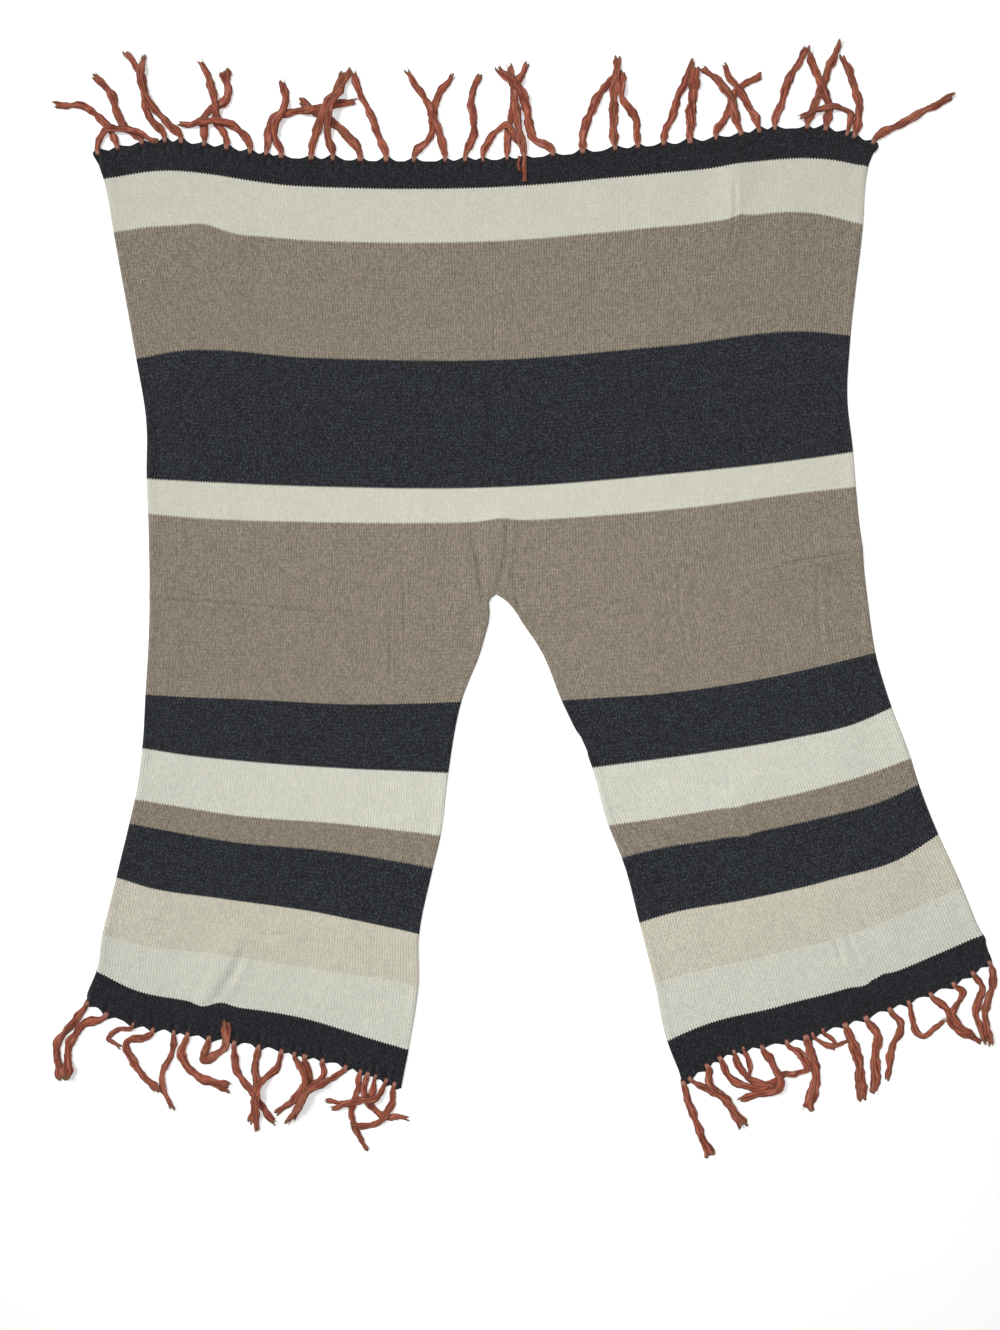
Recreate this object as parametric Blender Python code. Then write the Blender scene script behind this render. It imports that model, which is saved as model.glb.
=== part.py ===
"""Andean poncho: a striped, fringed ruana, knitted in one with an open front, laid out flat.

Metres, +Z up. The cloth lies face up on Z = 0 with its back hem towards +Y and its two
fronts, splayed apart below the neck, towards -Y. Each strand of the fringe is tied
through the edge of a hem, so its root is fused into a narrow strip of that edge.

The tables are in millimetres from the neck point, where the front slit begins: x across
the garment, y up towards the back hem. CENTRE moves that point off the origin, which is
the middle of the whole outline.
"""

from collections import namedtuple

import bmesh
import bpy
import numpy as np

NAME = "andean_poncho"
MM = 0.001
CENTRE = (44.0, -3.5)  # middle of the outline, fringe and all, from the neck point

WALL = 2.5  # thickness of the knitted cloth
SEAM = 0.35  # clearance between pieces that meet, measured along y
EDGE_WIDE = 3.0  # the strip of hem edge that holds the strands
EDGE_HIGH = 2.0
EDGE_LIFT = 0.2  # underside of that strip above the floor
SCALLOP_HIGH = 5.0  # how far a tied strand draws the edge out
SCALLOP_REACH = 15.0  # half the width of that peak

STRAND_HIGH = 2.8  # thickness of a strand of loose roving at its fullest
STRAND_LIFT = 0.5  # underside of a strand that lies on the floor
STRAND_SLENDER = 0.6  # width and height of a strand's ends, as a share of its middle
STRAND_LEAD = 5.0  # how far a strand runs straight out of the edge
STRAND_CLEAR = 0.6  # clearance over what a strand crosses
STRAND_SLOPE = 0.3  # steepest climb over what it crosses
STRAND_OWN = 22.0  # past this length from its root, a strand clears the cloth it lies over
STRAND_NEAR = 1.0  # strands this close side by side are laid as if they crossed
STRAND_RINGS = 13
FINE_STEPS = 84  # steps along a strand when its crossings are looked for
HEM_CHORD = 10.0  # length of hem that sets the way a strand leaves it

SHARP_ANGLE = 40.0  # degrees; gentler edges are shaded smooth

BACK_COLUMNS = 28
FRONT_COLUMNS = 14
ROW_STEP = 30.0  # longest step between two rows of the cloth's mesh
EDGE_STEPS = 5  # steps of the hem's edge to one column of the cloth

COLOURS = {
    "charcoal": (0.030, 0.031, 0.035),
    "cream": (0.62, 0.61, 0.53),
    "taupe": (0.24, 0.20, 0.155),
    "tan": (0.55, 0.50, 0.40),
    "rust": (0.27, 0.085, 0.055),
}

# One row for each change of yarn, and for the shoulder, the waist and the chest between
# them. course: distance knitted from the shoulder; band: yarn from here to the next row;
# left, centre, right: x of the side edges and of the middle wale; y05 is the height 5 %
# of the way across, and so on.
BackRow = namedtuple("BackRow", "course band left centre right y0 y05 y25 y50 y75 y95 y100")
BACK_ACROSS = (0.0, 0.05, 0.25, 0.5, 0.75, 0.95, 1.0)
BACK_ROWS = (
    BackRow(-668, "charcoal", -614, -9, 583, 675, 691, 671, 668, 694, 710, 690),
    BackRow(-626, "cream", -601, -8, 570, 641, 649, 628, 626, 650, 668, 658),
    BackRow(-543, "taupe", -586, -8, 562, 557, 565, 545, 543, 567, 583, 568),
    BackRow(-361, "charcoal", -551, -5, 543, 362, 373, 364, 361, 383, 404, 398),
    BackRow(-263, "charcoal", -536, -4, 538, 270, 276, 266, 263, 284, 307, 308),
    BackRow(-165, "cream", -535, -2, 547, 178, 175, 166, 165, 186, 211, 219),
    BackRow(-115, "taupe", -533, -2, 551, 127, 122, 114, 115, 134, 162, 168),
    BackRow(0, "taupe", -530, 0, 561, 14, 9, 0, 0, 23, 56, 64),
)

# The same for the two fronts, from the shoulder down: edges from left to right, so the
# slit is at the right of the left front and at the left of the right front.
FrontRow = namedtuple("FrontRow", "course band left right y0 y10 y35 y65 y90 y100")
FRONT_ACROSS = (0.0, 0.1, 0.35, 0.65, 0.9, 1.0)
LEFT_ROWS = (
    FrontRow(0, "taupe", -530, -6, 14, 9, 2, 0, 0, 0),
    FrontRow(80, "taupe", -532, -22, -68, -72, -78, -83, -81, -80),
    FrontRow(163, "charcoal", -537, -53, -150, -153, -158, -165, -163, -161),
    FrontRow(262, "cream", -542, -73, -232, -240, -253, -263, -268, -270),
    FrontRow(348, "taupe", -553, -85, -311, -319, -337, -348, -361, -367),
    FrontRow(393, "charcoal", -562, -97, -349, -358, -378, -391, -409, -418),
    FrontRow(487, "tan", -582, -118, -432, -447, -465, -485, -509, -519),
    FrontRow(569, "cream", -603, -119, -519, -533, -548, -570, -589, -599),
    FrontRow(648, "charcoal", -612, -134, -574, -599, -623, -645, -681, -695),
    FrontRow(705, "charcoal", -632, -145, -620, -646, -671, -698, -731, -750),
)
RIGHT_ROWS = (
    FrontRow(0, "taupe", 8, 561, 0, 2, 14, 38, 56, 64),
    FrontRow(80, "taupe", 67, 570, -80, -77, -66, -44, -21, -11),
    FrontRow(163, "charcoal", 100, 581, -159, -156, -147, -125, -98, -86),
    FrontRow(262, "cream", 147, 606, -262, -256, -241, -219, -191, -170),
    FrontRow(348, "taupe", 172, 635, -351, -345, -327, -300, -266, -248),
    FrontRow(393, "charcoal", 193, 648, -402, -390, -371, -343, -311, -289),
    FrontRow(487, "tan", 220, 678, -502, -488, -467, -435, -397, -366),
    FrontRow(569, "cream", 243, 714, -592, -580, -553, -516, -468, -446),
    FrontRow(648, "charcoal", 262, 743, -681, -660, -629, -589, -540, -518),
    FrontRow(705, "charcoal", 287, 760, -744, -710, -680, -634, -586, -556),
)

# The largest folds, each a low ridge where the cloth lifts off the floor: its two ends,
# its height and its half width.
Fold = namedtuple("Fold", "x0 y0 x1 y1 high wide")
FOLDS = (
    Fold(8, 115, 3, 20, 3.5, 22),
    Fold(-43, 66, -20, -10, 2.5, 20),
    Fold(409, 32, 553, 73, 4.0, 24),
    Fold(367, 649, 357, 533, 3.0, 22),
    Fold(-447, 563, -398, 548, 2.5, 26),
    Fold(-517, 9, -438, -18, 2.5, 24),
    Fold(-380, -524, -455, -611, 4.0, 26),
    Fold(363, -317, 386, -366, 3.0, 24),
)

# The fringe, one row for each strand in the order they were laid: x of its root, then its
# way from there a third along, two thirds along and at the tip, and its full width.
Strand = namedtuple("Strand", "root x1 y1 x2 y2 x3 y3 wide")
BACK_STRANDS = (
    Strand(-579, -18, 36, -47, 62, -98, 68, 8),
    Strand(-542, -29, 27, -46, 72, -73, 106, 9),
    Strand(-507, -28, 46, -34, 96, -61, 139, 9),
    Strand(-609, 14, 37, 51, 34, 90, 18, 8),
    Strand(-482, -29, 37, -58, 78, -60, 132, 10),
    Strand(-447, 0, 44, 34, 72, 31, 116, 9),
    Strand(-413, -14, 43, -21, 89, -40, 135, 9),
    Strand(-377, -18, 37, -58, 47, -109, 41, 9),
    Strand(-352, 11, 57, 72, 69, 139, 84, 9),
    Strand(-329, -12, 37, 6, 80, 2, 118, 9),
    Strand(-283, 11, 52, 31, 93, 50, 129, 9),
    Strand(-250, -9, 50, 5, 93, 29, 139, 9),
    Strand(-208, -17, 36, -48, 60, -94, 92, 9),
    Strand(-168, -13, 43, -34, 91, -51, 134, 9),
    Strand(-126, 26, 40, 34, 92, 60, 133, 9),
    Strand(-78, -9, 41, -29, 90, -60, 138, 9),
    Strand(-47, 14, 44, 9, 89, 21, 132, 9),
    Strand(17, 3, 47, 11, 100, 2, 145, 9),
    Strand(-20, 12, 35, 37, 52, 55, 25, 8),
    Strand(43, -8, 43, -14, 101, 5, 147, 9),
    Strand(87, -31, 29, -43, 84, -84, 136, 10),
    Strand(133, 3, 38, 20, 80, 54, 124, 10),
    Strand(182, -3, 47, 0, 95, 3, 142, 10),
    Strand(217, -3, 41, -23, 75, -23, 116, 9),
    Strand(257, 11, 41, 26, 83, 46, 129, 9),
    Strand(297, 2, 40, 5, 78, 8, 116, 13),
    Strand(337, 17, 37, 34, 77, 72, 98, 9),
    Strand(375, -9, 29, -26, 72, -61, 103, 10),
    Strand(403, -14, 37, -32, 61, -55, 103, 9),
    Strand(427, 9, 40, 24, 81, 51, 127, 9),
    Strand(476, 15, 41, 29, 78, 52, 133, 10),
    Strand(504, 5, 37, -8, 69, -24, 119, 10),
    Strand(548, 8, 31, 3, 70, -18, 126, 9),
    Strand(537, 6, 33, -26, 42, -73, 24, 7),
    Strand(577, 29, 23, 72, 46, 124, 75, 9),
)
LEFT_STRANDS = (
    Strand(-625, -20, -29, -49, -72, -37, -118, 8),
    Strand(-596, -35, -17, -57, -47, -60, -98, 9),
    Strand(-556, -24, -9, -39, -23, -19, -35, 6),
    Strand(-493, -2, -31, -20, -70, -3, -119, 7),
    Strand(-525, -41, -23, -29, -55, 8, -96, 8),
    Strand(-472, -11, -29, 17, -67, 64, -84, 9),
    Strand(-400, 3, -43, 28, -80, 61, -126, 8),
    Strand(-439, -9, -36, 24, -15, 25, 27, 7),
    Strand(-363, -6, -37, -3, -70, -14, -118, 9),
    Strand(-328, -5, -23, -31, -49, -38, -122, 8),
    Strand(-292, 5, -31, -14, -63, -46, -89, 9),
    Strand(-308, 12, -23, 17, -51, -11, -106, 8),
    Strand(-265, 2, -21, -18, -41, -46, -90, 8),
    Strand(-230, -14, -15, -49, -31, -89, -87, 8),
    Strand(-207, -6, -31, -14, -73, 9, -121, 7),
    Strand(-184, -9, -31, -34, -41, -77, -38, 7),
    Strand(-196, -5, -31, 18, -63, 61, -69, 8),
    Strand(-168, -12, -23, -44, -29, -84, -43, 7),
    Strand(-155, -6, -35, -28, -61, -67, -64, 8),
)
RIGHT_STRANDS = (
    Strand(286, 9, -29, 23, -70, 43, -112, 8),
    Strand(296, 24, -15, 57, -38, 78, -77, 8),
    Strand(322, 5, -26, 32, -54, 60, -93, 9),
    Strand(342, 14, -28, 55, -49, 106, -24, 9),
    Strand(364, 5, -18, 23, -40, 64, -54, 8),
    Strand(379, 6, -12, 11, -28, 6, -44, 7),
    Strand(407, 15, -25, 28, -54, -34, -83, 9),
    Strand(474, 9, -28, 15, -69, 3, -113, 12),
    Strand(445, 21, -20, 31, -43, -2, -49, 8),
    Strand(501, 8, -9, 18, -18, 14, -29, 7),
    Strand(485, 12, -12, 31, -17, 58, -11, 6),
    Strand(534, 11, -26, 23, -70, 25, -116, 12),
    Strand(566, 17, -25, 15, -66, 14, -118, 11),
    Strand(602, 17, -21, 5, -60, -3, -110, 9),
    Strand(631, 6, -25, 20, -54, 55, -28, 8),
    Strand(665, 20, -18, 37, -51, 80, -75, 9),
    Strand(700, 14, -11, -2, -46, 28, -80, 8),
    Strand(729, 14, -21, 6, -64, 21, -107, 9),
    Strand(754, 8, -25, -5, -74, 2, -126, 9),
)


def smooth(knots, values, at):
    """Cubic through values at the knots, with the slope of the neighbours' parabola at each."""
    knots = np.asarray(knots, float)
    values = np.asarray(values, float)
    slopes = np.gradient(values, knots, axis=0)
    first = np.clip(np.searchsorted(knots, at, side="right") - 1, 0, len(knots) - 2)
    span = (knots[first + 1] - knots[first]).reshape((-1,) + (1,) * (values.ndim - 1))
    t = (np.asarray(at, float) - knots[first]).reshape(span.shape) / span
    start = values[first] * (1 + 2 * t) * (1 - t) ** 2 + slopes[first] * span * t * (1 - t) ** 2
    end = values[first + 1] * t**2 * (3 - 2 * t) + slopes[first + 1] * span * t**2 * (t - 1)
    return start + end


def back_cloth(across, courses):
    """x and y of the back, courses by wales: each wale runs between its marks on the rows."""
    table = np.array([row[2:] for row in BACK_ROWS], float)
    marks = smooth([row.course for row in BACK_ROWS], table, courses)
    left, centre, right = (marks[:, [column]] for column in range(3))
    x = left + (centre - left) * np.minimum(2 * across, 1)
    x = x + (right - centre) * np.maximum(2 * across - 1, 0)
    return x, smooth(BACK_ACROSS, marks[:, 3:].T, across).T


def front_cloth(rows, across, courses):
    """x and y of one front, courses by wales."""
    table = np.array([row[2:] for row in rows], float)
    marks = smooth([row.course for row in rows], table, courses)
    x = marks[:, [0]] + (marks[:, [1]] - marks[:, [0]]) * across
    return x, smooth(FRONT_ACROSS, marks[:, 2:].T, across).T


def mesh_courses(rows):
    """Courses for the rows of a mesh: one on every change of yarn, evenly divided between."""
    courses = [row.course for row in rows]
    steps = [
        np.linspace(start, end, int(np.ceil((end - start) / ROW_STEP)), endpoint=False)
        for start, end in zip(courses, courses[1:])
    ]
    return np.append(np.concatenate(steps), courses[-1])


def relief(x, y):
    """Height of the folds: along each, a bell across its line that dies away past its ends."""
    height = np.zeros_like(x)
    for fold in FOLDS:
        start = np.array([fold.x0, fold.y0], float)
        along = np.array([fold.x1, fold.y1], float) - start
        share = ((x - start[0]) * along[0] + (y - start[1]) * along[1]) / (along @ along)
        share = np.clip(share, 0, 1)
        away = np.hypot(x - start[0] - share * along[0], y - start[1] - share * along[1])
        height = np.maximum(height, fold.high * np.exp(-((away / fold.wide) ** 2)))
    return height


def material(name):
    """Matt, soft fibre in one of the yarn colours."""
    made = bpy.data.materials.new(name)
    made.use_nodes = True
    shader = made.node_tree.nodes["Principled BSDF"]
    shader.inputs["Base Color"].default_value = (*COLOURS[name], 1.0)
    shader.inputs["Roughness"].default_value = 0.9
    shader.inputs["Metallic"].default_value = 0.0
    made.diffuse_color = (*COLOURS[name], 1.0)
    return made


def placed(x, y, z):
    """Points in metres in the object's frame, from millimetres about the neck."""
    return np.stack([x - CENTRE[0], y - CENTRE[1], z], axis=-1) * MM


def wall_mesh(name, points, thick, bands=None):
    """A grid carried to the points, row by row, and drawn down by its thickness."""
    rows, columns = points.shape[:2]
    bm = bmesh.new()
    bmesh.ops.create_grid(bm, x_segments=columns - 1, y_segments=rows - 1, size=0.5)
    faces_up = points[0, 0, 1] > points[-1, 0, 1]
    for face in bm.faces if bands else ():
        face.material_index = bands[int((0.5 - face.calc_center_median().y) * (rows - 1))]
    for vert in bm.verts:
        row = round((0.5 - vert.co.y) * (rows - 1))
        column = round((vert.co.x + 0.5) * (columns - 1))
        vert.co = points[row, column]
    if not faces_up:
        bmesh.ops.reverse_faces(bm, faces=bm.faces[:])
    drawn = bmesh.ops.extrude_face_region(bm, geom=bm.faces[:])
    lower = [part for part in drawn["geom"] if isinstance(part, bmesh.types.BMVert)]
    bmesh.ops.translate(bm, verts=lower, vec=(0.0, 0.0, -thick * MM))
    bmesh.ops.recalc_face_normals(bm, faces=bm.faces[:])
    mesh = bpy.data.meshes.new(name)
    bm.to_mesh(mesh)
    bm.free()
    mesh.shade_smooth()
    mesh.set_sharp_from_angle(angle=np.radians(SHARP_ANGLE))
    return mesh


def add_object(name, mesh, collection, slots):
    """The mesh as an object of the collection, with its materials."""
    made = bpy.data.objects.new(name, mesh)
    for slot in slots:
        mesh.materials.append(slot)
    collection.objects.link(made)
    return made


def panel(name, x, y, rows, courses, yarns, collection):
    """One panel of the cloth: its wall, lifted along the folds, striped course by course."""
    names = list(yarns)
    changes = np.array([row.course for row in rows])
    middles = (courses[:-1] + courses[1:]) / 2
    bands = [names.index(rows[np.searchsorted(changes, at) - 1].band) for at in middles]
    points = placed(x, y, WALL + relief(x, y))
    mesh = wall_mesh(name, points, WALL, bands)
    return add_object(name, mesh, collection, yarns.values())


def hem_line(x, y):
    """The hem's edge between its marks: fine, even steps along the columns' chords."""
    columns = np.arange(len(x))
    fine = np.linspace(0, len(x) - 1, (len(x) - 1) * EDGE_STEPS + 1)
    return np.interp(fine, columns, x), np.interp(fine, columns, y)


def scallops(x, strands):
    """How far the edge is drawn out at x: a rounded peak at the root of each strand."""
    away = np.abs(x[:, None] - np.array([strand.root for strand in strands])) / SCALLOP_REACH
    return SCALLOP_HIGH * (np.cos(np.pi / 2 * np.minimum(away, 1)) ** 2).max(axis=1)


def strand_way(strand, hem_x, hem_y, side, at):
    """x and y along a strand, straight out of the edge and on through its marks; and outward."""
    root = np.array([strand.root, np.interp(strand.root, hem_x, hem_y)])
    chord = np.interp(strand.root + HEM_CHORD / 2 * np.array([-1, 1]), hem_x, hem_y)
    outward = np.array([(chord[0] - chord[1]) / HEM_CHORD, 1.0]) * side
    outward = outward / np.hypot(*outward)
    marks = np.array(
        [
            root - outward * EDGE_WIDE / 2,
            root + outward * STRAND_LEAD,
            root + (strand.x1, strand.y1),
            root + (strand.x2, strand.y2),
            root + (strand.x3, strand.y3),
        ]
    )
    length = np.append(0, np.cumsum(np.hypot(*np.diff(marks, axis=0).T)))
    return smooth(length, marks, at * length[-1]), outward


def fullness(at):
    """Width and height along a strand, as a share of its fullest: slender at both ends."""
    return STRAND_SLENDER + (1 - STRAND_SLENDER) * np.sin(np.pi * at)


def strand_heights(way, half, laid, over_cloth):
    """Underside of a strand at each fine step: on the floor, or clear over what it crosses."""
    need = np.full(len(way), STRAND_LIFT)
    walked = np.append(0, np.cumsum(np.hypot(*np.diff(way, axis=0).T)))
    if laid:
        under = np.concatenate(laid)
        gaps = np.hypot(way[:, [0]] - under[:, 0], way[:, [1]] - under[:, 1])
        meets = gaps < half[:, None] + under[:, 2] + STRAND_NEAR
        need = np.maximum(need, np.where(meets, under[:, 3] + STRAND_CLEAR, 0).max(axis=1))
    returned = over_cloth & (walked > STRAND_OWN)
    need = np.where(returned, np.maximum(need, WALL + STRAND_CLEAR), need)
    drop = STRAND_SLOPE * np.abs(walked[:, None] - walked)
    return (need - drop).max(axis=1)


def strand_tube(way, sideways, half, high, middle):
    """A four-sided tube of rings, a flat diamond in section, closed at both ends."""
    rings = len(way)
    flat = np.column_stack([way, middle])
    side = np.column_stack([sideways * half[:, None], np.zeros(rings)])
    up = np.column_stack([np.zeros((rings, 2)), high / 2])
    corners = np.stack([flat + side, flat + up, flat - side, flat - up], axis=1)
    points = placed(corners[..., 0], corners[..., 1], corners[..., 2]).reshape(-1, 3)
    ring, corner = np.meshgrid(np.arange(rings - 1), np.arange(4), indexing="ij")
    here = (ring * 4 + corner).ravel()
    beside = (ring * 4 + (corner + 1) % 4).ravel()
    quads = np.column_stack([here, here + 4, beside + 4, beside])
    last = 4 * rings - 4
    caps = np.array([[0, 1, 2, 3], [last + 3, last + 2, last + 1, last]])
    return points, np.concatenate([quads, caps])


def strands_mesh(name, strands, hem_x, hem_y, outer, side):
    """All the strands of one hem, each laid over the ones before it."""
    fine = np.linspace(0, 1, FINE_STEPS + 1)
    at = np.linspace(0, 1, STRAND_RINGS)
    picks = np.rint(at * FINE_STEPS).astype(int)
    stride = FINE_STEPS // (STRAND_RINGS - 1)
    laid = []
    points = []
    faces = []
    for strand in strands:
        way, outward = strand_way(strand, hem_x, hem_y, side, fine)
        full = fullness(fine)
        half = strand.wide / 2 * full
        high = STRAND_HIGH * full
        inside = (np.interp(way[:, 0], hem_x, outer) - way[:, 1]) * side + half > 0
        within = (way[:, 0] > hem_x[0] - half) & (way[:, 0] < hem_x[-1] + half)
        under = strand_heights(way, half, laid, inside & within)
        lifted = [under[max(pick - stride, 0) : pick + stride + 1].max() for pick in picks]
        middle = np.array(lifted) + high[picks] / 2
        middle[0] = EDGE_LIFT + EDGE_HIGH / 2
        tangent = np.gradient(way, axis=0)[picks]
        tangent[0] = outward
        tangent = tangent / np.hypot(*tangent.T)[:, None]
        sideways = np.column_stack([tangent[:, 1], -tangent[:, 0]])
        tube, tube_faces = strand_tube(way[picks], sideways, half[picks], high[picks], middle)
        faces.append(tube_faces + sum(map(len, points)))
        points.append(tube)
        top = np.interp(fine, at, middle + high[picks] / 2)
        laid.append(np.column_stack([way, half, top]))
    mesh = bpy.data.meshes.new(name)
    mesh.from_pydata(np.concatenate(points), [], np.concatenate(faces).tolist())
    mesh.update()
    return mesh


def fringe(name, hem, strands, side, yarns, collection, guides):
    """One hem's fringe: the scalloped strip of its edge, and its strands fused into it."""
    hem_x, hem_y = hem_line(*hem)
    outer = hem_y + side * scallops(hem_x, strands)
    inner = hem_y - side * EDGE_WIDE
    edges = np.stack([outer, inner] if side > 0 else [inner, outer])
    strip = placed(np.stack([hem_x, hem_x]), edges, np.full(edges.shape, EDGE_LIFT + EDGE_HIGH))
    made = add_object(name, wall_mesh(name, strip, EDGE_HIGH), collection, [yarns["charcoal"]])
    mesh = strands_mesh(name + "_strands", strands, hem_x, hem_y, outer, side)
    laid = add_object(name + "_strands", mesh, guides, [yarns["rust"]])
    laid.hide_render = True
    laid.display_type = "WIRE"
    fuse = made.modifiers.new("fuse_strands", "BOOLEAN")
    fuse.operation = "UNION"
    fuse.object = laid
    fuse.material_mode = "TRANSFER"
    return made


def build():
    """Clears the scene, then makes the back, the two fronts and the fringe of each hem."""
    for old in list(bpy.data.objects):
        bpy.data.objects.remove(old)
    scene = bpy.context.scene
    poncho = bpy.data.collections.new(NAME)
    guides = bpy.data.collections.new(NAME + "_guides")
    scene.collection.children.link(poncho)
    scene.collection.children.link(guides)
    yarns = {name: material(name) for name in COLOURS}

    across_back = np.linspace(0, 1, BACK_COLUMNS + 1)
    across_front = np.linspace(0, 1, FRONT_COLUMNS + 1)
    back_courses = mesh_courses(BACK_ROWS)
    front_courses = mesh_courses(LEFT_ROWS)

    x, y = back_cloth(across_back, back_courses)
    shoulder_x = x[-1].copy()
    shoulder_y = y[-1].copy()
    hem = (x[0].copy(), y[0].copy())
    y[0] -= EDGE_WIDE + SEAM
    panel("back", x, y, BACK_ROWS, back_courses, yarns, poncho)
    fringe("fringe_back", hem, BACK_STRANDS, 1, yarns, poncho, guides)

    halves = {
        "left": (LEFT_ROWS, LEFT_STRANDS, slice(0, FRONT_COLUMNS + 1)),
        "right": (RIGHT_ROWS, RIGHT_STRANDS, slice(FRONT_COLUMNS, None)),
    }
    for half, (rows, strands, shoulder) in halves.items():
        x, y = front_cloth(rows, across_front, front_courses)
        slit = x[0, -1] if half == "left" else x[0, 0]
        x[0] = shoulder_x[shoulder]
        y[0] = shoulder_y[shoulder] - SEAM
        x[0, -1 if half == "left" else 0] = slit
        hem = (x[-1].copy(), y[-1].copy())
        y[-1] += EDGE_WIDE + SEAM
        panel("front_" + half, x, y, rows, front_courses, yarns, poncho)
        fringe("fringe_front_" + half, hem, strands, -1, yarns, poncho, guides)


build()
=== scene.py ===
"""Andean poncho: a striped, fringed ruana, knitted in one with an open front, laid out flat.

Run as a script, this dresses the poncho's solids: one continuous sheet of stockinette in
place of the back and the two fronts, and soft roving in place of the strands of each hem.

The tables are in millimetres from the neck point, where the front slit begins: x across
the garment, y up towards the back hem. A place in the knitting itself is given by its wale,
across from the middle, and its course, from the shoulder: below 0 on the back.
"""

from collections import namedtuple

import bpy
import numpy as np
from bpy.props import FloatProperty, FloatVectorProperty, IntProperty, PointerProperty
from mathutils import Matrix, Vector


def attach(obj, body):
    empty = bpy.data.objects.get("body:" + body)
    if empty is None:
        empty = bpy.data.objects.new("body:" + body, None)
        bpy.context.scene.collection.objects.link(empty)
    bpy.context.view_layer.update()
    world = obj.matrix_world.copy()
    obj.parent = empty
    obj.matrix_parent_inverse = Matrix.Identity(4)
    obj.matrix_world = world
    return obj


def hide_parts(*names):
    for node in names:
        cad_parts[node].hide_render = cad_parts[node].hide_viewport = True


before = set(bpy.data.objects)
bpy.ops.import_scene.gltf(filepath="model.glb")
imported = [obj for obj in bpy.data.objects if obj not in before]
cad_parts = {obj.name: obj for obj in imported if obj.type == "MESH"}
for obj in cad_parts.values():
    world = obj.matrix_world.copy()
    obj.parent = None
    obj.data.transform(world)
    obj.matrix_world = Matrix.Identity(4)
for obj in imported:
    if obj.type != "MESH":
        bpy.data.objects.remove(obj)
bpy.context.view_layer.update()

bl_info = {
    "name": "Andean Poncho",
    "version": (1, 0, 0),
    "blender": (4, 5, 0),
    "location": "View3D > Sidebar > Poncho",
    "description": "Lays out a striped, fringed poncho in knitted wool",
    "category": "Add Mesh",
}

MM = 0.001
CENTRE = (44.0, -3.5)  # middle of the outline, fringe and all, from the neck point
HALF_WALES = 560.0  # the cloth's half width, counted along a course
BACK_HEM = -668.0  # course of the back hem
FRONT_HEM = 705.0  # course of the front hems


def table(kind, *rows):
    """Rows of named columns."""
    return tuple(kind(*row) for row in rows)


# ---- The cloth as it lies ----

# Each row is one course of the back, from its hem to the shoulder. left, centre, right: x
# of the side edges and of the middle wale; y05 is the height 5 % of the way across.
BackRow = namedtuple("BackRow", "course left centre right y0 y05 y25 y50 y75 y95 y100")
BACK_ACROSS = (0.0, 0.05, 0.25, 0.5, 0.75, 0.95, 1.0)
BACK_ROWS = table(
    BackRow,
    (-668, -614, -9, 583, 675, 691, 671, 668, 694, 710, 690),
    (-626, -601, -8, 570, 638, 649, 628, 626, 650, 668, 657),
    (-543, -586, -8, 562, 557, 565, 545, 543, 567, 583, 568),
    (-361, -551, -5, 543, 362, 373, 364, 361, 383, 404, 398),
    (-263, -536, -4, 538, 270, 276, 266, 263, 284, 307, 308),
    (-165, -535, -2, 547, 178, 175, 166, 165, 186, 211, 219),
    (-115, -533, -2, 551, 127, 122, 114, 115, 134, 162, 168),
    (0, -530, 0, 561, 14, 9, 0, 0, 23, 56, 64),
)

# The same for the two fronts, from the shoulder down to their hems.
FrontRow = namedtuple("FrontRow", "course left right y0 y10 y35 y65 y90 y100")
FRONT_ACROSS = (0.0, 0.1, 0.35, 0.65, 0.9, 1.0)
LEFT_ROWS = table(
    FrontRow,
    (0, -530, -6, 14, 9, 2, 0, 0, 0),
    (80, -532, -22, -68, -72, -78, -83, -81, -80),
    (163, -537, -53, -150, -153, -158, -165, -163, -161),
    (262, -542, -73, -232, -240, -253, -263, -268, -270),
    (348, -553, -85, -311, -319, -337, -348, -361, -367),
    (393, -562, -97, -349, -358, -378, -391, -409, -418),
    (487, -582, -118, -432, -447, -465, -485, -509, -519),
    (569, -603, -119, -519, -533, -548, -570, -589, -599),
    (648, -612, -134, -574, -599, -623, -645, -681, -695),
    (705, -632, -145, -620, -646, -671, -698, -731, -750),
)
RIGHT_ROWS = table(
    FrontRow,
    (0, 8, 561, 0, 2, 14, 38, 56, 64),
    (80, 67, 570, -80, -77, -66, -44, -21, -11),
    (163, 100, 581, -159, -156, -147, -125, -98, -86),
    (262, 147, 606, -262, -256, -241, -219, -191, -170),
    (348, 172, 635, -351, -345, -327, -300, -266, -248),
    (393, 193, 648, -402, -390, -371, -343, -311, -289),
    (487, 220, 678, -502, -488, -467, -435, -397, -366),
    (569, 243, 714, -592, -580, -553, -516, -468, -446),
    (648, 262, 743, -681, -660, -629, -589, -540, -518),
    (705, 287, 760, -744, -710, -680, -634, -586, -556),
)

# Yarn knitted from each course on. Open is knitted looser, so its wales stand apart.
Band = namedtuple("Band", "course yarn")
BANDS = table(
    Band,
    (-668, "hem"),
    (-626, "cream"),
    (-543, "taupe"),
    (-361, "charcoal"),
    (-165, "cream"),
    (-115, "taupe"),
    (163, "charcoal"),
    (262, "open cream"),
    (348, "taupe"),
    (393, "charcoal"),
    (487, "tan"),
    (569, "open cream"),
    (648, "hem"),
)

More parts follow.
